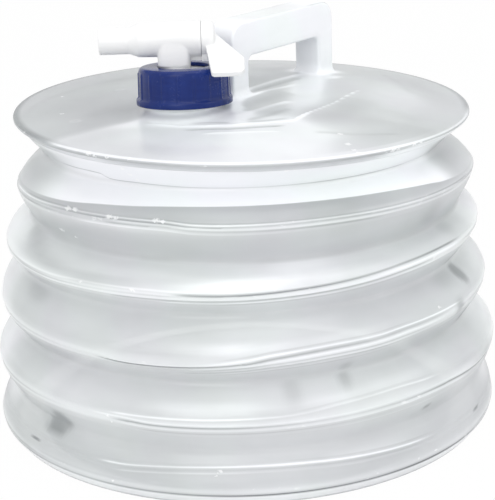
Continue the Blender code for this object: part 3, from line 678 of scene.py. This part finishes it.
def topMarksAt(x, y):
    lift = tint = 0.0
    for points, height, half, tone, beads in topMarks:
        gap, share = lineGap(x, y, points)
        if gap < 3 * half:
            amount = exp(-(gap / half) ** 2) * smooth(0, 0.12, share) * smooth(0, 0.12, 1 - share)
            if beads:
                span = sum(hypot(b[0] - a[0], b[1] - a[1]) for a, b in zip(points, points[1:]))
                amount *= 0.65 + 0.35 * cos(2 * pi * share * span / beads)
            lift += height * amount
            tint += tone * amount
    for (dentX, dentY), size in topDents:
        gap = hypot(x - dentX, y - dentY)
        if gap < 3 * size:
            ring = exp(-((gap - size * 0.6) / (size * 0.35)) ** 2)
            lift += 0.35 * ring
            tint += 0.12 * ring
    for (midX, midY), long, wide, turn, tone in topPaintedLightAndShade:
        dx, dy, c, s = x - midX, y - midY, cos(radians(turn)), sin(radians(turn))
        gap = hypot((dx * c + dy * s) / long, (dy * c - dx * s) / wide)
        if gap < 2:
            tint += tone * exp(-gap ** 3)
    return lift, tint


def filletRise(gap, reach, height):
    if gap >= reach:
        return 0.0
    return height * (1 - sqrt(max(0.0, 1 - (1 - max(gap, 0) / reach) ** 2)))


def topPoint(x, y):
    lift, tint = topMarksAt(x, y)
    neckGap = hypot(x - neckFoot.x, y - neckFoot.y) - neck["radius"]
    feet = [footPlace(x, y, middle) for middle in footMiddles]
    away = smooth(0.0, 5.0, min(neckGap, *feet))
    z = crownHeight(x, y) + lift * away + filletRise(neckGap, neck["spread"], neck["fillet"])
    for gap in feet:
        z += filletRise(gap, grip["flare"], grip["flareHeight"])
    wave = noise.noise(Vector((x, y, 3.0)) * 0.035)
    z += 0.7 * wave * away * (1 - smooth(100, 118, hypot(x, y)))
    # painted light: lighter round the neck and the feet, against the shade of the cap and the handle
    tone = topToneWithPaintedLight(x, y) + tint * away + 0.22 * exp(-(max(min(neckGap, *feet), 0) / 7.0) ** 2)
    return z, tone


def topToneWithPaintedLight(x, y):            # painted light: bright in front, the left side darker
    edge = stops(paintedLightEdge, x) - y
    soft = 5 + 12 * smooth(16, 60, x)
    bright = smooth(-soft, 1.4 * soft, edge) * (1 - 0.5 * smooth(40, 75, x))
    return 0.69 - 0.10 * smooth(10, 80, -x) + 0.03 * smooth(30, 80, x) + 0.255 * bright


def roundedBox(halfA, halfB, radius):    # a closed outline of (a, b) points, the same count for every size
    outline = []

    def straight(first, last):
        shares = [k / grip["side"] for k in range(1, grip["side"])]
        return [(between(first[0], last[0], share), between(first[1], last[1], share)) for share in shares]

    for cornerA, cornerB, start in ((1, 1, 0), (-1, 1, 90), (-1, -1, 180), (1, -1, 270)):
        middleA, middleB = cornerA * (halfA - radius), cornerB * (halfB - radius)
        turns = [radians(start + 90 * k / grip["arc"]) for k in range(grip["arc"] + 1)]
        arc = [(middleA + radius * cos(turn), middleB + radius * sin(turn)) for turn in turns]
        outline += (straight(outline[-1], arc[0]) if outline else []) + arc
    return outline + straight(outline[-1], outline[0])


def footOutline(which, grow):
    middle = footMiddles[which]
    turn = 1 if which == 0 else -1
    outline = roundedBox(grip["leg"] / 2 + grow, grip["across"] / 2 + grow, grip["corner"] + grow)
    return [alongGrip * (middle + a * turn) + acrossGrip * b for a, b in outline]


def cutOut(x, y, slack):      # inside the neck's outline or a foot's, seen from above
    inNeck = hypot(x - neckFoot.x, y - neckFoot.y) < neck["radius"] - slack
    return inNeck or any(footPlace(x, y, middle) < -slack for middle in footMiddles)


def circle(radius, count, centre):
    turns = [2 * pi * k / count for k in range(count)]
    return [(centre[0] + radius * cos(turn), centre[1] + radius * sin(turn)) for turn in turns]


def crownPlan():              # points and fixed edges of the top, seen from above
    points, edges, taken = [], [], {}
    cell = crown["cell"]

    def offer(x, y, room):    # keeps a point that has room round it
        if room:
            for i in (-1, 0, 1):
                for j in (-1, 0, 1):
                    for px, py in taken.get((int(x // cell) + i, int(y // cell) + j), ()):
                        if hypot(px - x, py - y) < room:
                            return
        points.append(Vector((x, y)))
        taken.setdefault((int(x // cell), int(y // cell)), []).append((x, y))

    def loop(outline):
        start = len(points)
        for x, y in outline:
            offer(x, y, 0)
        edges.extend((start + k, start + (k + 1) % len(outline)) for k in range(len(outline)))
        return list(range(start, len(points)))

    loops = {"rim": loop(circle(crown["planRim"], crown["columns"], (crown["shift"], 0))),
             "neck": loop(circle(neck["radius"], neck["columns"], neckFoot[:2])),
             "foot0": loop(footOutline(0, 0)), "foot1": loop(footOutline(1, 0))}
    for grow, room in crown["spreads"]:
        for outline in (circle(neck["radius"] + grow, neck["columns"], neckFoot[:2]),
                        footOutline(0, grow), footOutline(1, grow)):
            for x, y in outline:
                offer(x, y, room)
    for line, _, half, _, _ in topMarks:
        for (ax, ay), (bx, by) in zip(line, line[1:]):
            length = hypot(bx - ax, by - ay)
            for k in range(int(length / crown["markStep"]) + 1):
                t = k * crown["markStep"] / length
                for side in crown["markSides"]:
                    offer(between(ax, bx, t) - (by - ay) / length * side * half,
                          between(ay, by, t) + (bx - ax) / length * side * half, crown["markRoom"])
    for middle, size in topDents:
        for k in range(4):
            for x, y in circle(size * (0.3 + 0.4 * k), 10 + 4 * k, middle):
                offer(x, y, crown["dentRoom"])
    for row in range(1, crown["rows"] + 1):
        radius = crown["planRim"] - row * crown["spacing"]
        middle = (crown["shift"] * radius / crown["planRim"], 0)
        for x, y in circle(radius, ceil(2 * pi * radius / crown["spacing"]), middle):
            offer(x, y, crown["rowRoom"])
    kept = [index for index, p in enumerate(points)
            if not cutOut(p.x, p.y, 0.01) and hypot(p.x - crown["shift"], p.y) <= crown["planRim"] + 0.01]
    renumber = {old: new for new, old in enumerate(kept)}
    points = [points[k] for k in kept]
    edges = [(renumber[a], renumber[b]) for a, b in edges]
    loops = {name: [renumber[k] for k in line] for name, line in loops.items()}
    return points, edges, loops


def creaseAt(x, y):           # strongest on the fine bright lines, where flecks gather
    lines = [(line, half) for line, _, half, tint, _ in topMarks if half < 2 and tint > 0.11]
    return min(1.0, sum(exp(-(lineGap(x, y, line)[0] / half) ** 2) for line, half in lines))


def crownSheet(form, put):    # the low crown, open at the neck and at the handle's feet
    points, edges, loops = crownPlan()
    flat, _, faces, origins = delaunay_2d_cdt(points, edges, [], 0, 1e-5)[:4]
    made = []
    for p in flat:
        z, tone = topPoint(p.x, p.y)
        neckGap = hypot(p.x - neckFoot.x, p.y - neckFoot.y) - neck["radius"]
        gap = min(neckGap, *(footPlace(p.x, p.y, middle) for middle in footMiddles))
        body = crown["body"] + 0.12 * exp(-(max(gap, 0) / 6.0) ** 2)
        thick = between(1.8, crown["wall"], smooth(0, 4, gap))
        made.append(put(Vector((p.x, p.y, z)), tone, body, creaseAt(p.x, p.y) * 0.8, thick))
    for face in faces:
        middle = sum((flat[k] for k in face), Vector((0, 0))) / len(face)
        if not cutOut(middle.x, middle.y, 0.02):
            form.faces.new([made[k] for k in face])
    place = {k: made[new] for new, old in enumerate(origins) for k in old}
    return made, {name: [place[k] for k in line] for name, line in loops.items()}


def rimLook(r, z, tint, heading):            # painted highlight lines in front, painted dark outlines beside and behind, painted shadow under the rim and painted sheen on the lip
    turn, whole = facing(heading), degrees(heading) % 360
    if z > 174.8:
        tone = topToneWithPaintedLight(124 * cos(heading), 124 * sin(heading))
    else:
        tone = foldToneWithPaintedLight(topRidge, 0, heading)
    # painted shadow under the rim, strongest in front
    shadow = 0.25 + 0.75 * smooth(232, 246, turn) * (1 - smooth(300, 312, turn))
    change = tint * (max(lineStrength(topRidge, 0.0, heading), 0.6) if z > 173.9 else shadow)
    if z > 175.3:
        # painted dark outline at the left and behind
        dark = 1 - smooth(208, 228, whole) + smooth(345, 356, whole)
        change = between(change, -0.34 * smooth(120, 122.5, r), dark)
    else:
        change *= between(0.5, 1, smooth(205, 236, turn))
    # painted sheen on the lip, front right
    sheen = smooth(298, 322, turn) * (1 - smooth(350, 358, turn)) * smooth(175, 174.2, z)
    return between(tone + change, 1.0, sheen), crown["body"] + 0.14 * sheen


def rimSheet(form, put, line):               # down to the ridge's bead, and a short lip over the bellows
    rim = crown["planRim"]
    edge = crownHeight(rim, 0) - rim * tan(radians(crown["tilt"][0])) * smooth(70, 124, rim)
    start, along, length = wallLine(topRidge - 1)[:3]
    profile = [(r, edge + z, tint, thick) for r, z, tint, thick in crown["rimTop"]] + crown["rimBead"]
    for down, tint, thick in crown["lip"]:
        spot = length - down
        profile.append((start[0] + along[0] * spot, start[1] + along[1] * spot, tint, thick))
    ridgeR, ridgeZ = rings[topRidge][:2]
    for r, z, tint, thick in profile:
        row = []
        crease = peak(hypot(r - ridgeR, z - ridgeZ), 0, 1.8)
        for k in range(crown["columns"]):
            heading = 2 * pi * k / crown["columns"]
            point = settle(r, z, topRidge, heading) / mm
            row.append(put(point, *rimLook(r, z, tint, heading), crease, thick))
        bridge(form, line, row)
        line = row


def neckSheet(form, put, foot):              # from the crown up to the lip, with its thread
    line, (first, last) = foot, neck["turns"]
    lowest = -(neck["lip"][2] - crown["middle"]) + neck["fillet"]
    for step in range(1, neck["rows"] + 1):
        share = step / neck["rows"]
        high = between(lowest, 0.0, share)
        upright = smooth(0, neck["foot"], share)
        shown = smooth(0, 1.0, high - first) * smooth(0, 1.0, last - high)
        row = []
        for k in range(neck["columns"]):
            turn = 2 * pi * k / neck["columns"]
            wrap = ((high - first) / neck["pitch"] - turn / (2 * pi)) % 1
            radius = neck["radius"] - 0.5 * smooth(-0.5, 0.0, high)
            radius += neck["thread"] * smooth(0.30, 0.44, wrap) * (1 - smooth(0.56, 0.70, wrap)) * shown
            point = neckFrame @ (Vector((radius * cos(turn), radius * sin(turn), high)) * mm) / mm
            if share < neck["foot"]:         # it grows out of the crown's outline
                start, climb = foot[k].co / mm, high - lowest
                point.x = between(start.x, point.x, upright)
                point.y = between(start.y + climb * neckAxis.y, point.y, upright)
                point.z = between(start.z + climb, point.z, upright)
            inwards = (neckFrame.to_3x3() @ Vector((cos(turn), sin(turn), 0))) * (radius - neck["bore"])
            row.append(put(point, *neck["look"], 0.0, neck["wall"], inwards))
        bridge(form, line, row)
        line = row


def gripStations(nearFoot, farFoot):         # outer and inner points (along, height), from foot to foot
    leg, gap = grip["leg"], grip["gap"]
    span = gap + leg
    outerTop, innerTop = grip["height"] - grip["outer"], grip["under"] - grip["inner"]
    stations = []

    def upright(outer, inner, foot, share):
        stations.append(((outer, between(foot, outerTop, share)), (inner, between(foot, innerTop, share))))

    def corner(outer, inner, side, c, s):
        stations.append(((outer + side * grip["outer"] * (1 - c), outerTop + grip["outer"] * s),
                         (inner + side * grip["inner"] * (1 - c), innerTop + grip["inner"] * s)))

    turns = [radians(90 * k / 7) for k in range(8)]
    for k in (1, 2, 3, 4):
        upright(-leg, 0.0, nearFoot, k / 4)
    for turn in turns[1:]:
        corner(-leg, 0.0, 1, cos(turn), sin(turn))
    for k in range(1, 14):
        share = k / 14
        stations.append(((between(grip["outer"] - leg, span - grip["outer"], share), grip["height"]),
                         (between(grip["inner"], gap - grip["inner"], share), grip["under"])))
    for turn in turns:
        corner(span, gap, -1, sin(turn), cos(turn))
    for k in (3, 2, 1):
        upright(span, gap, farFoot, k / 4)
    return stations


def gripToneWithPaintedShade(a, b, width, share):            # painted shade: duller inside and on top, painted dark outlines on the far edges
    inner = smooth(width * 0.30, width * 0.47, a) * smooth(0.62, 0.75, share)
    upper = smooth(width * 0.46, width * 0.50, -a)
    upper = upper * smooth(0.25, 0.35, share) * (1 - smooth(0.58, 0.66, share))
    rim = smooth(1.3, 0.3, width / 2 + a) * smooth(1.3, 0.3, grip["across"] / 2 - abs(b))
    rim *= smooth(0.3, 0.4, share)
    rim *= 1.0 if b > 0 or share > 0.6 else 0.3
    return grip["tone"] - 0.09 * inner - 0.17 * upper - 0.32 * rim


def gripSheet(form, put, near, far):
    line = near
    stations = gripStations(crown["middle"] + grip["flareHeight"], far[0].co.z / mm)
    for index, (outer, inner) in enumerate(stations):
        o, i = Vector(outer), Vector(inner)
        middle, toInner, width = (o + i) / 2, (i - o).normalized(), (i - o).length
        row = []
        for a, b in roundedBox(width / 2, grip["across"] / 2, grip["corner"]):
            spot = middle + toInner * a
            point = Vector((*(alongGrip * spot.x + acrossGrip * b), spot.y))
            tone = gripToneWithPaintedShade(a, b, width, index / len(stations))
            row.append(put(point, tone, grip["body"], 0.0, grip["wall"]))
        bridge(form, line, row)
        line = row
    bridge(form, line, far)


def thicken(form, layers, depth, aim, upper):     # adds the wall's inner side; upper is a point that faces up
    bmesh.ops.recalc_face_normals(form, faces=form.faces)
    form.normal_update()
    if upper.normal.z < 0:
        bmesh.ops.reverse_faces(form, faces=form.faces)
        form.normal_update()
    outerFaces = list(form.faces)
    openEdges = [e for e in form.edges if e.is_boundary]
    twin = {}
    for vertex in list(form.verts):
        mate = form.verts.new(vertex.co - aim.get(vertex, vertex.normal * vertex[depth]) * mm)
        for layer, value in zip(layers, (0.75, 0.06 + 0.5 * smooth(0.8, 0.95, vertex[layers[1]]), 0.0)):
            mate[layer] = value
        twin[vertex] = mate
    for face in outerFaces:
        form.faces.new([twin[v] for v in reversed(face.verts)])
    for e in openEdges:
        a, b = e.verts
        form.faces.new((a, b, twin[b], twin[a]))


def makeTop():
    form, layers = newForm()
    depth = form.verts.layers.float.new("depth")
    aim = {}                  # which way a point's wall grows inwards, where it isn't along its normal

    def put(point, tone, body, crease, thick, inwards=None):
        vertex = form.verts.new(point * mm)
        for layer, value in zip(layers, (tone, body, crease)):
            vertex[layer] = value
        vertex[depth] = thick
        if inwards is not None:
            aim[vertex] = inwards
        return vertex

    made, loops = crownSheet(form, put)
    rimSheet(form, put, loops["rim"])
    neckSheet(form, put, loops["neck"])
    gripSheet(form, put, loops["foot0"], loops["foot1"])
    thicken(form, layers, depth, aim, made[len(made) // 2])
    form.verts.layers.float.remove(depth)
    keepRest(form)
    return addPiece("bottleTop", form, crownFinish)


rimNicks = [   # radius, height, facing, size
    (124.2, 175.2, 232, 2.0), (124.2, 174.6, 233.8, 1.6), (124.3, 174.8, 237.5, 1.4),
    (124.0, 175.6, 243.5, 1.3), (124.2, 174.6, 306.5, 2.3), (124.2, 174.4, 308.2, 1.6),
    (124.2, 175.0, 313.5, 1.7), (124.2, 175.2, 316.0, 1.3)]
crownNicks = [   # plan, size
    ((50.4, -84.0), 1.5), ((53.4, -97.8), 1.7), ((56.0, -105.5), 1.3), ((57.5, -108.8), 1.2),
    ((-98.6, 20.0), 1.3), ((-94.7, -22.9), 1.2)]
topNicks = [(settle(r, z, topRidge, radians(turn)), size) for r, z, turn, size in rimNicks]
topNicks += [(Vector((x, y, crownHeight(x, y))) * mm, size) for (x, y), size in crownNicks]
crownFinish = bottleFinish("milkyBottleTop", 0.20, 0.5, topNicks)
top = makeTop()
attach(top, "top")
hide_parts("bottle_top", "handle")
print("bottle top:", len(top.data.polygons), "faces")


# screw cap: ribbed skirt, bead, hole for the tap, thread inside

cap = dict(
    hole=13.6, top=6.9, ceiling=4.9, bottom=-12.7, shoulder=23.7, rounding=2.2, skirt=24.0, bead=25.4,
    beadTop=-9.7, inside=22.2, skirtRows=(1.0, -2.0, -5.0, -7.8, -8.9), ribs=18, ribReach=0.4, ribTurn=4.0,
    ribShape=[(-1.75, 0), (-1.35, 0.35), (-0.95, 0.9), (-0.4, 1), (0.4, 1), (0.95, 0.9), (1.35, 0.35),
              (1.75, 0), (4.6, 0), (7.6, 0), (10.6, 0), (13.6, 0), (16.4, 0)],    # degrees off its middle
    thread=1.0, threadFoot=-12.0, threadStep=0.62)


def plasticFinish(name, colour, shade, rough, wear=0.5, bend=1.5, shine=0.5):
    look = Finish(name)
    at = look.add("ShaderNodeTexCoord", output=3)
    cloud = look.noise(at, 55.0, 3.0, 0.55)
    fine = look.noise(at, 900.0, 2.0, 0.6)
    flow = look.noise(look.stretch(at, (70.0, 70.0, 420.0)), 1.0, 3.0, 0.6, 0.4)
    scuff = look.noise(at, 260.0, 4.0, 0.65, 0.6).ramp(0.60, 0.74)
    tint = look.mixColour((cloud * 0.6 + flow * 0.4).ramp(0.32, 0.68), colour, shade)
    tint = look.mixColour(scuff * 0.05 * wear, tint, (0.9, 0.92, 0.95))
    roughness = rough + (cloud - 0.5) * 0.10 + (fine - 0.5) * 0.06 + scuff * 0.10 * wear
    normal = look.bump(cloud * 0.5 + flow * 0.5, 0.25, 0.0004)
    normal = look.bump(fine, 0.25, 0.00004, normal)
    return look.done(look.shader(Base_Color=tint, Roughness=roughness, Normal=normal, IOR=bend,
                                 Specular_IOR_Level=shine))


capFinish = plasticFinish("blueCapPlastic", (0.004, 0.017, 0.125), (0.007, 0.025, 0.160), 0.26,
                          wear=0.2, bend=1.38, shine=0.4)
tapFinish = plasticFinish("whiteTapPlastic", (0.82, 0.825, 0.83), (0.86, 0.86, 0.86), 0.38)
plugFinish = plasticFinish("whitePlugPlastic", (0.80, 0.80, 0.79), (0.84, 0.84, 0.83), 0.42)
rubberFinish = plasticFinish("blackSealRubber", (0.018, 0.018, 0.019), (0.028, 0.028, 0.030), 0.72,
                             wear=1.2)


def capOutside():             # radius, height and share of the ribs, from the hole down to the skirt's edge
    hole, top, rounding, bottom = cap["hole"], cap["top"], cap["rounding"], cap["bottom"]
    profile = [(hole, top - 0.4, 0), (hole + 0.12, top - 0.1, 0), (hole + 0.4, top, 0), (17.5, top, 0),
               (20.0, top, 0), (21.6, top, 0)]
    for turn in (15, 30, 45, 60, 75, 90):
        profile.append((cap["shoulder"] - rounding * (1 - sin(radians(turn))),
                        top - rounding * (1 - cos(radians(turn))), 0))
    ribTop = top - rounding - 0.8
    for z in (ribTop + 0.35, ribTop, ribTop - 0.5, *cap["skirtRows"]):
        share = (top - z) / (top - cap["beadTop"])
        profile.append((between(cap["shoulder"], cap["skirt"], share), z, 0.4 if z > ribTop else 1))
    return profile + [(24.9, -9.25, 0.4), (25.25, -9.55, 0), (cap["bead"], -9.95, 0), (cap["bead"], -12.2, 0),
                      (25.25, -12.55, 0), (24.9, bottom, 0), (22.7, bottom, 0), (22.3, -12.5, 0)]


def capThread(z, turn):       # how far the inner thread stands out here
    wrap = ((z + 12.4) / neck["pitch"] - turn / 360 + 0.5) % 1
    ridge = smooth(0.34, 0.46, wrap) * (1 - smooth(0.54, 0.66, wrap))
    return cap["thread"] * ridge * smooth(-11.6, -10.8, z) * smooth(2.6, 1.8, z)


def makeCap():
    form = bmesh.new()
    spots = [(cap["ribTurn"] + 360 * rib / cap["ribs"] + off, lift) for rib in range(cap["ribs"])
             for off, lift in cap["ribShape"]]
    rows = [[(r + cap["ribReach"] * lift * ribbed, z, turn) for turn, lift in spots]
            for r, z, ribbed in capOutside()]
    z = cap["threadFoot"]
    while z < cap["ceiling"] - 1.2:
        rows.append([(cap["inside"] - capThread(z, turn), z, turn) for turn, _ in spots])
        z += cap["threadStep"]
    inside, ceiling, hole = cap["inside"], cap["ceiling"], cap["hole"]
    for r, z in ((inside, ceiling - 0.4), (inside - 0.4, ceiling), (17.0, ceiling), (hole + 0.3, ceiling),
                 (hole, ceiling + 0.3)):
        rows.append([(r, z, turn) for turn, _ in spots])

    def vertex(r, z, turn):
        return form.verts.new(neckFrame @ (Vector((r * cos(radians(turn)), r * sin(radians(turn)), z)) * mm))

    made = [[vertex(*spot) for spot in row] for row in rows]
    for lower, upper in zip(made, made[1:] + made[:1]):
        bridge(form, lower, upper)
    return addPiece("screwCap", form, capFinish)


capPiece = makeCap()
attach(capPiece, "cap")
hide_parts("screw_cap")
print("cap:", len(capPiece.data.polygons), "faces")


# tap: barrel, spout, stem, flange and stop lug grown together, then bored

tap = dict(
    rise=21.0, end=9.9, length=32.7, wide=9.5, thin=8.9, shoulder=4.7, spout=16.0, spoutRadius=7.1,
    spoutBore=5.3, plugBore=6.9, plugDepth=27.0, stem=8.5, stemFront=9.15, stemPlace=-4.6, stemBore=5.5,
    flange=19.8, flangeLow=2.6, flangeHigh=4.6, lugLength=7.0, lugWidth=4.0, lugDepth=2.0, lugInset=0.3,
    finger=4.6, fingerHeight=1.6, voxel=0.42, soften=3)
barrelEnd = neckFrame @ Matrix.Translation(Vector((tap["end"], 0, tap["rise"])) * mm)
barrelFrame = barrelEnd @ Matrix.Rotation(radians(-90), 4, "Y")


def turnedForm(form, profile, place, count=72):   # a turned shape of (radius, height) rows; 0 is on its axis
    turns = [2 * pi * k / count for k in range(count)]
    rows = []
    for r, z in profile:
        if r == 0:
            rows.append([form.verts.new(place @ Vector((0, 0, z * mm)))] * count)
        else:
            rows.append([form.verts.new(place @ (Vector((r * cos(a), r * sin(a), z)) * mm)) for a in turns])
    for lower, upper in zip(rows, rows[1:]):
        bridge(form, lower, upper)


def boxForm(form, low, high, place, soft=0.4):    # a block with its upright edges rounded
    middleX, middleY = [(a + b) / 2 for a, b in zip(low[:2], high[:2])]
    outline = roundedBox((high[0] - low[0]) / 2, (high[1] - low[1]) / 2, soft)
    prism(form, [[(middleX + a, middleY + b, z) for a, b in outline] for z in (low[2], high[2])], place)


def grown(name, form, voxel, soften, cutters, material):   # fuses what overlaps, softens it, then cuts holes
    piece = addPiece(name, form, material)
    fuse = piece.modifiers.new("fuse", "REMESH")
    fuse.mode, fuse.voxel_size, fuse.use_smooth_shade = "VOXEL", voxel * mm, True
    ease = piece.modifiers.new("soften", "SMOOTH")
    ease.factor, ease.iterations = 0.5, soften
    tools = []
    for cutter in cutters:
        tool = addPiece(name + "Cutter", cutter, material)
        cut = piece.modifiers.new("cut", "BOOLEAN")
        cut.operation, cut.solver, cut.object = "DIFFERENCE", "EXACT", tool
        tools.append(tool)
    done = bpy.data.meshes.new_from_object(piece.evaluated_get(bpy.context.evaluated_depsgraph_get()))
    piece.modifiers.clear()
    piece.data = done
    done.name = name
    for tool in tools:
        bpy.data.objects.remove(tool)
    done.shade_smooth()
    done.set_sharp_from_angle(angle=radians(38))
    return piece


def stemRow(z, front, power, count=72):           # an outline that is round at power 2 and squarer above it
    turns = [2 * pi * (k + 0.5) / count for k in range(count)]
    return [(copysign(tap["stem"] * abs(cos(a)) ** (2 / power), cos(a)),
             copysign(front * abs(sin(a)) ** (2 / power), sin(a)), z) for a in turns]


def makeTap():
    length, high, width, end = tap["length"], tap["flangeHigh"], tap["lugWidth"] / 2, tap["end"]
    shoulder = length + tap["shoulder"]
    total = shoulder + tap["spout"]
    form = bmesh.new()
    turnedForm(form, [(0, 0), (tap["wide"], 0), (tap["thin"], length), (tap["spoutRadius"], shoulder),
                      (tap["spoutRadius"], total), (0, total)], barrelFrame)
    turnedForm(form, [(0, tap["flangeLow"]), (tap["flange"], tap["flangeLow"]), (tap["flange"], high),
                      (0, high)], neckFrame, 120)
    stemFrame = neckFrame @ Matrix.Translation((tap["stemPlace"] * mm, 0, 0))
    stemRows = [(high - 1, tap["stem"] + 0.5, 2), (high + 0.8, tap["stem"], 2), (cap["top"], tap["stem"], 2),
                (cap["top"] + 0.8, tap["stemFront"], 5), (tap["rise"], tap["stemFront"], 5)]
    prism(form, [stemRow(*row) for row in stemRows], stemFrame)
    low = tap["rise"] - tap["wide"] - tap["lugDepth"]
    lugEnd = end - tap["lugInset"]
    boxForm(form, (lugEnd - tap["lugLength"], -width, low),
            (lugEnd, width, low + 2 * tap["lugDepth"]), neckFrame)
    boxForm(form, (end - tap["lugLength"] / 2, -width, low),
            (end + tap["finger"], width, low + tap["fingerHeight"]), neckFrame)
    bore, stemBore = bmesh.new(), bmesh.new()
    turnedForm(bore, [(0, total + 2), (tap["spoutBore"], total + 2), (tap["spoutBore"], tap["plugDepth"]),
                      (tap["plugBore"], tap["plugDepth"]), (tap["plugBore"], -2), (0, -2)], barrelFrame)
    turnedForm(stemBore, [(0, 0), (tap["stemBore"], 0), (tap["stemBore"], tap["rise"]), (0, tap["rise"])],
               stemFrame)
    return grown("tapBody", form, tap["voxel"], tap["soften"], [bore, stemBore], tapFinish)


tapPiece = makeTap()
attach(tapPiece, "tap")
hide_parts("tap_body")
print("tap:", len(tapPiece.data.polygons), "faces")


# tap lever: round hub, flat paddle and the nib that stops it

lever = dict(
    turn=60, hub=9.2, length=7.2, rounding=3.2, gap=0.06, thick=2.8, reach=31.6, width=22.2,
    flareStart=5.0, flareEnd=19.5, slant=3.6, corner=3.6, smallCorner=1.6, drive=7.0, driveDepth=5.5,
    nib=3.0, voxel=0.40, soften=3)
leverFrame = barrelEnd @ Matrix.Rotation(-radians(lever["turn"]), 4, "X")


def roundCorners(corners, steps=6):               # corners are (x, y, radius)
    path = []
    for index, (x, y, radius) in enumerate(corners):
        corner = Vector((x, y))
        if radius == 0:
            path.append(corner)
            continue
        before = (Vector(corners[index - 1][:2]) - corner).normalized()
        after = (Vector(corners[(index + 1) % len(corners)][:2]) - corner).normalized()
        half = before.angle(after) / 2
        middle = corner + (before + after).normalized() * (radius / sin(half))
        first = corner + before * (radius / tan(half)) - middle
        last = corner + after * (radius / tan(half)) - middle
        for step in range(steps + 1):
            path.append(middle + (first * (1 - step / steps) + last * (step / steps)).normalized() * radius)
    return path


def makeLever():
    hub, length, rounding, gap = lever["hub"], lever["length"], lever["rounding"], lever["gap"]
    form = bmesh.new()
    dome = [(hub - rounding * (1 - cos(radians(t))), length - rounding * (1 - sin(radians(t))))
            for t in (90, 72, 54, 36, 18, 0)]
    hubFrame = leverFrame @ Matrix.Rotation(radians(90), 4, "Y")
    turnedForm(form, [(0, length), *dome, (hub, gap), (0, gap)], hubFrame)

    outline = roundCorners([(gap + 0.5, hub - rounding, 0), (lever["flareStart"], hub - rounding, 0),
                            (lever["width"], -lever["flareEnd"], lever["corner"]),
                            (lever["width"], -lever["reach"], lever["corner"]),
                            (lever["slant"] + lever["smallCorner"], -lever["reach"], lever["smallCorner"])])
    prism(form, [[(p.x, side * lever["thick"] / 2, p.y) for p in outline] for side in (-1, 1)], leverFrame)

    front = -tap["lugWidth"] / 2 - gap            # the nib meets the tap's finger when the tap is shut
    nibFrame = leverFrame @ Matrix.Rotation(radians(lever["turn"]), 4, "X")
    boxForm(form, (gap, front - lever["nib"], -tap["wide"] - tap["lugDepth"]),
            (tap["finger"], front, -hub / 2), nibFrame)

    socket = bmesh.new()
    half = lever["drive"] / 2 + gap
    corners = [(-half, -half), (half, -half), (half, half), (-half, half)]
    prism(socket, [[(x, a, b) for a, b in corners] for x in (-2, lever["driveDepth"] + gap)], leverFrame)
    return grown("tapLever", form, lever["voxel"], lever["soften"], [socket], tapFinish)


leverPiece = makeLever()
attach(leverPiece, "lever")
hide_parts("tap_lever")
print("lever:", len(leverPiece.data.polygons), "faces")


# pieces of the frame that stay as they are, with a finish of their own

keptPieces = {"tap_plug": plugFinish, "plug_seal_outer": rubberFinish, "plug_seal_inner": rubberFinish,
              "cap_gasket": rubberFinish}
for name, finish in keptPieces.items():
    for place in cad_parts[name].material_slots:
        place.material = finish
print("kept pieces:", len(keptPieces))


# studio: pale floor, soft lamps, white all round

studio = dict(floor=8.0, floorColour=(0.9, 0.9, 0.9), floorWhite=0.985, ambient=0.71, aim=(0, 0, 0.12),
              lamps={"overhead": ((0.1, -0.3, 1.4), 1.2, 7.0), "front": ((-0.5, -1.5, 0.8), 0.9, 6.0),
                     "right": ((1.2, -0.5, 0.7), 0.7, 2.4)})          # place, size and power

pale = Finish("paleFloor")
bare = pale.add("ShaderNodeBsdfDiffuse", None, {"Color": studio["floorColour"]})
white = pale.add("ShaderNodeEmission", None, {"Color": (1.0, 1.0, 1.0), "Strength": 1.0})
floorFinish = pale.done(pale.blend(pale.roomSeen() * studio["floorWhite"], bare, white))
form = bmesh.new()
half = studio["floor"] / 2
form.faces.new([form.verts.new((x * half, y * half, 0)) for x, y in ((-1, -1), (1, -1), (1, 1), (-1, 1))])
ground = addPiece("floor", form, floorFinish, False)

world = bpy.data.worlds.new("studioWorld")
scene.world = world
air = Finish("studioWorld", world)
strength = studio["ambient"] + air.roomSeen() * (1 - studio["ambient"])
sky = air.add("ShaderNodeBackground", None, {"Color": (1.0, 1.0, 1.0), "Strength": strength})
air.add("ShaderNodeOutputWorld", None, {"Surface": sky})

for name, (place, size, power) in studio["lamps"].items():
    lamp = bpy.data.lights.new(name, "AREA")
    lamp.size, lamp.energy = size, power
    holder = bpy.data.objects.new(name, lamp)
    holder.location = place
    holder.rotation_euler = (Vector(studio["aim"]) - Vector(place)).to_track_quat("-Z", "Y").to_euler()
    scene.collection.objects.link(holder)
print("lamps:", len(studio["lamps"]))

scene.view_settings.view_transform = "Standard"
scene.cycles.transparent_max_bounces = 32
